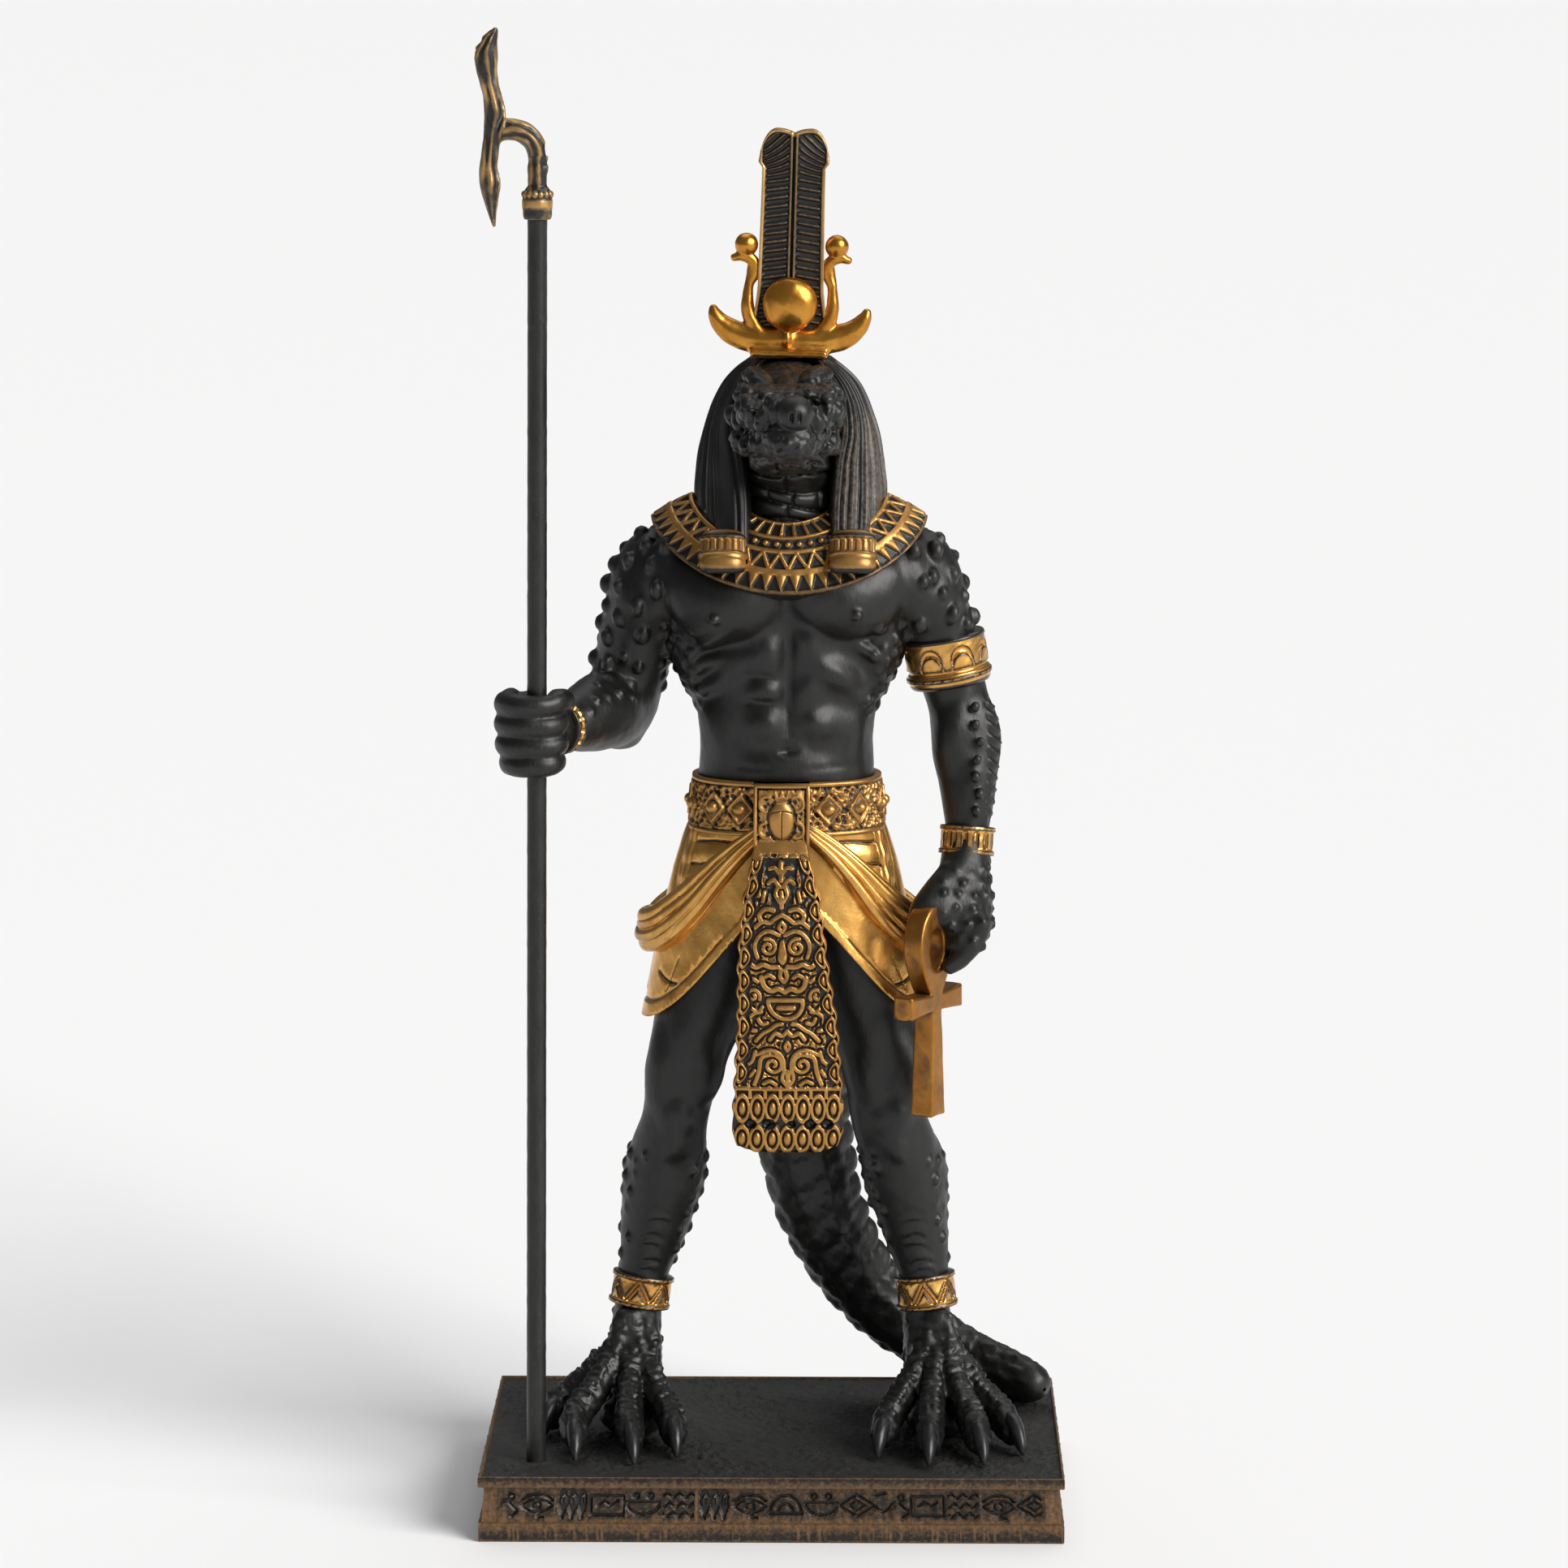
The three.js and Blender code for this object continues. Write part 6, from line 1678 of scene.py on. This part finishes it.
def stroke_row(u, v):
    """A row of shallow cut marks, made of arcs, lenses and dots, that spell nothing."""
    pitch = 7.1
    index = np.floor(u / pitch)
    x = (u / pitch - index - 0.5) * pitch / 1.3
    v = v / 1.32

    def line(distance):
        return ridge(distance, 0.10, 0.22)

    def bar(*places):
        return line(curve_distance(x, v, places))

    def arc(middle_x, middle_v, wide, tall, where=True):
        reach = np.hypot((x - middle_x) / wide, (v - middle_v) / tall)
        return line((reach - 1) * min(wide, tall)) * where

    lens = np.hypot(x, np.abs(v + 0.2) + 2.3) - 3.3
    pupil = line((np.hypot(x, v + 0.2) - 0.62) * (lens < 0) + 9 * (lens > 0))
    eye = line(lens) + pupil + arc(0, -0.4, 2.7, 2.0, v > 0.5) + bar((0.4, -1.1), (0.2, -1.9), (1.0, -2.0))
    lozenge = np.abs(x) * 0.62 + np.abs(v)
    lozenges = line((lozenge - 1.7) * 0.85) + line((lozenge - 0.75) * 0.85)
    ripple = sum(line((v - level - 0.32 * np.sin(x * 3.4 + level)) * 0.8) for level in (-1.5, 0.0, 1.5))
    ripple = ripple * (np.abs(x) < 2.4)
    dots = arc(-1.1, 1.4, 0.4, 0.4) + arc(1.1, 1.4, 0.4, 0.4)
    basket = arc(0, 0.4, 2.5, 1.9, v < 0.4) + bar((-2.5, 0.4), (2.5, 0.4)) + dots
    reeds = sum(arc(at, 0.5, 0.55, 1.5) + bar((at, -2.1), (at, 0.9)) for at in (-1.5, 0.0, 1.5))
    hill = arc(0, -1.3, 2.4, 2.8, v > -1.3) + bar((-2.6, -1.3), (2.6, -1.3))
    hill = hill + arc(0, -1.3, 1.2, 1.5, v > -1.3)
    crawler = line((v + 0.2 - 0.8 * np.sin(x * 1.5 + 0.6)) * 0.75) * (np.abs(x) < 2.6)
    crawler = crawler + bar((2.5, -1.0), (1.6, -1.9)) + bar((-2.5, 1.6), (-1.0, 1.9))
    crawler = crawler + arc(1.4, 1.2, 0.45, 0.45)
    pool = bar((-2.5, 1.4), (2.5, 1.4), (2.5, -1.6), (-2.5, -1.6), (-2.5, 1.4))
    pool = pool + bar((-1.5, -0.1), (-0.5, 0.6), (0.5, -0.1), (1.5, 0.6))
    cut = 0.0
    for number, shape in enumerate((eye, lozenges, ripple, basket, reeds, hill, crawler, pool)):
        cut = cut + np.where(np.isin(index, np.flatnonzero(np.array(MARKS) == number)), shape, 0.0)
    return np.clip(cut, 0, 1)


def plinth_body(stone):
    """Plinth with its slab, sloping panel cut with strokes, and base band."""
    half_w, half_d = PLINTH_W / 2, PLINTH_D / 2
    slab_low = PLINTH_H - SLAB_T
    profile = [(0, 0.25)] + [(0.25 + (BASE_BAND_H - 0.5) * t, 0) for t in np.linspace(0, 0.95, 7)]
    profile += [(BASE_BAND_H - 0.2, 0), (BASE_BAND_H, 0.2)]
    panel_h = slab_low - BASE_BAND_H - 0.1
    profile += [(BASE_BAND_H + 0.05 + panel_h * t, PANEL_RECESS - PANEL_BATTER * (1 - t))
                for t in np.linspace(0, 1, 52)]
    profile += [(slab_low, 0.15)] + [(slab_low + 0.2 + (SLAB_T - 0.5) * t, 0) for t in np.linspace(0, 1, 4)]
    profile += [(PLINTH_H - 0.05, 0.2), (PLINTH_H - 0.05, 0.45), (PLINTH_H - 1.3, 1.3)]
    height, inset = np.array(profile).T[:, :, None]
    corners = np.array([(-half_w, -half_d), (half_w, -half_d), (half_w, half_d), (-half_w, half_d)])
    around, run, face = [], [], []
    for number, step in enumerate((0.2, 0.6, 0.6, 0.6)):
        start, end = corners[number], corners[(number + 1) % 4]
        length = np.linalg.norm(end - start)
        count = int(length / step)
        for t in np.arange(count) / count:
            around.append(start + (end - start) * t)
            run.append(length * t)
            face.append(number)
    around, run, face = np.array(around), np.array(run)[None, :], np.array(face)[None, :]
    chip = 0.06 * np.sin(run * 1.3) * np.sin(run * 0.37 + 1) + 0.04 * np.sin(run * 3.1)
    mid = (BASE_BAND_H + slab_low) / 2
    inside = between(height, BASE_BAND_H + 0.3, slab_low - 0.3)
    length_of = np.where(face % 2 == 0, PLINTH_W, PLINTH_D)
    strokes = stroke_row(run, (height - mid) * 1.05) * inside * window(run, 3, length_of - 3, 0.5)
    depth = inset + chip * between(height, 0.3, PLINTH_H - 0.1) + 0.6 * strokes

    def sunk(places, half):
        on_face = np.abs(places) > half - 1e-6
        return np.where(on_face, np.sign(places) * (half - depth), places * (1 - depth / half))

    points, quads = closed_tube(join_axes(sunk(around[:, 0], half_w), sunk(around[:, 1], half_d), height))
    edge = np.maximum(ridge(height - PLINTH_H, 0.08, 0.1), ridge(height - slab_low - 0.1, 0.12, 0.12))
    edge = np.maximum(edge, ridge(height - BASE_BAND_H + 0.1, 0.15, 0.2) + ridge(height, 0.2, 0.2))
    rub = 0.34 * edge + 0.09 * inside * (1 - strokes) + 0.38 * ridge(strokes - 0.2, 0.12, 0.15) + 0.06
    make_piece("plinth_body", points, quads, stone, "plinth", smooth=40, rub=with_ends(rub))


def plinth_ground(stone):
    """Rough sandy skin on the plinth's top."""
    columns, rows = 320, 206
    half_w, half_d = PLINTH_W / 2 - 0.35, PLINTH_D / 2 - 0.35
    x = np.linspace(-half_w, half_w, columns)[:, None]
    y = np.linspace(-half_d, half_d, rows)[None, :]
    flat = join_axes(x, y, 0.0).reshape(-1, 3)
    grains = dome(pebbles(flat, 1.15, 51, 0.95)[0], 0.62)
    bare = ease(0.5 + 0.9 * waves(flat, 11.0, 0.4))
    sand = 0.75 * grains * (0.15 + 0.85 * bare) + 0.22 * waves(flat, 3.4) + 0.18 * waves(flat, 1.0, 1.0)
    sand = sand.reshape(columns, rows)
    border = ease((half_w - np.abs(x)) / 1.0) * ease((half_d - np.abs(y)) / 1.0)
    foot = np.hypot(x - staff_place(0.0, PLINTH_H)[0], y - STAFF_Y)
    ring = ridge(foot - 2.7, 0.35, 0.3)
    top_z = PLINTH_H - 0.65 + 0.8 * (sand * border).clip(-0.2, 0.8) + 0.35 * ring + 0.2 * (1 - border)
    top = join_axes(x, y, np.minimum(top_z, PLINTH_H + 0.05))
    under = join_axes(x, y[:, [-1, 0]], PLINTH_H - 1.9)
    points, quads = closed_tube(np.concatenate([top, under], 1))
    rub = np.concatenate([0.12 + 0.22 * sand + 0.22 * (1 - border), np.zeros((columns, 2))], 1)
    make_piece("plinth_ground", points, quads, stone, "plinth", rub=with_ends(rub))


def add_floor():
    bpy.ops.mesh.primitive_plane_add(size=60.0, location=(0.0, 10.0, 0.0))
    floor = bpy.context.object
    floor.name = "floor"
    material, _, shader, _ = start_material("matt_paper_floor")
    shader.inputs["Base Color"].default_value = linear("#f8f8f9")
    shader.inputs["Roughness"].default_value = 0.9
    floor.data.materials.append(material)
    floor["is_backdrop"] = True


# Satin black casting resin: soft broad highlights, almost neutral, faint streaks in the coat
SKIN = painted_resin("satin_black_resin", "#0b0b0a", "#131312", "#2a2926", 0.41, 0.06, 0.46, 0.0)
# Headcloth: the same coat with warm bronze dry-brushed on, laid on more thickly on its right, lit side as a
# painted highlight
CLOTH_SKIN = painted_resin("dry_brushed_resin_with_painted_sheen", "#0f0f0e", "#181716", "#7d7061", 0.40, 0.03, 0.46, 0.3)
# Claws: slightly greyer and glossier horn colour
HORN = painted_resin("grey_horn_paint", "#121214", "#29292b", "#4e4e50", 0.36, 0.02, 0.5, 0.0)
# Rod: smooth black lacquer with a fine orange peel
ROD = painted_resin("black_rod_lacquer", "#141413", "#222221", "#6f6353", 0.36, 0.02, 0.42)
# Plinth sides: black coat with bronze rubbed on its edges and round its strokes
STONE = painted_resin("bronze_rubbed_resin", "#14120f", "#211c17", "#876543", 0.46, 0.07, 0.4, 0.4)
# Plinth top: black sand, matt, with flecks of brown on the grains
SAND = painted_resin("black_sand_resin", "#171716", "#272623", "#51473b", 0.58, 0.34, 0.5, 0.2)
# Bright antique gold paint over black: the crown
CROWN_GOLD = gilded_resin("crown_gold_paint", "#1a1109", "#9c6119", "#dfa144", 0.25, 0.12, 0.62, 0.95, 0.15)
# Paler gold under a clear coat: the kilt, drapes and bands
GOLD = gilded_resin("lacquered_pale_gold", "#1c130b", "#ac7430", "#f0bc68", 0.25, 0.14, 0.66, 0.93, 0.2)
# Darker rubbed gold: collar, belt, apron
OLD_GOLD = gilded_resin("rubbed_old_gold", "#15110c", "#926630", "#c99b5c", 0.34, 0.28, 0.85, 0.85)
# Bronze gold of the ankh, even and slightly matt
BRONZE = gilded_resin("matt_bronze_gold", "#22170c", "#7d5424", "#b9803c", 0.29, 0.3, 0.8, 0.88)
# Feathers and staff head: black resin with gold rubbed only on the rims and ribs
FEATHER = gilded_resin("gold_rimmed_black", "#1b1917", "#94724a", "#d3aa6c", 0.34, 0.3, 0.9, 0.8)

add_camera()
light_scene()
add_floor()
trunk_and_arms(SKIN)
legs_and_feet(SKIN)
claws(HORN)
tail(SKIN)
head_and_neck(SKIN)
headcloth(CLOTH_SKIN)
collar(OLD_GOLD)
belt(OLD_GOLD)
buckle(OLD_GOLD)
kilt(GOLD)
apron(OLD_GOLD)
for hip in (LEFT, RIGHT):
    lappet_band(OLD_GOLD, hip)
    swag(GOLD, hip)
cuffs(GOLD)
crown_base(CROWN_GOLD)
plumes(FEATHER)
staff_rod(ROD)
staff_head(FEATHER)
ankh(BRONZE)
plinth_body(STONE)
plinth_ground(SAND)

boxes = {"cad": CAD_BOX, "visual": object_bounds()}
{key: [list(corner) for corner in box] for key, box in boxes.items()}
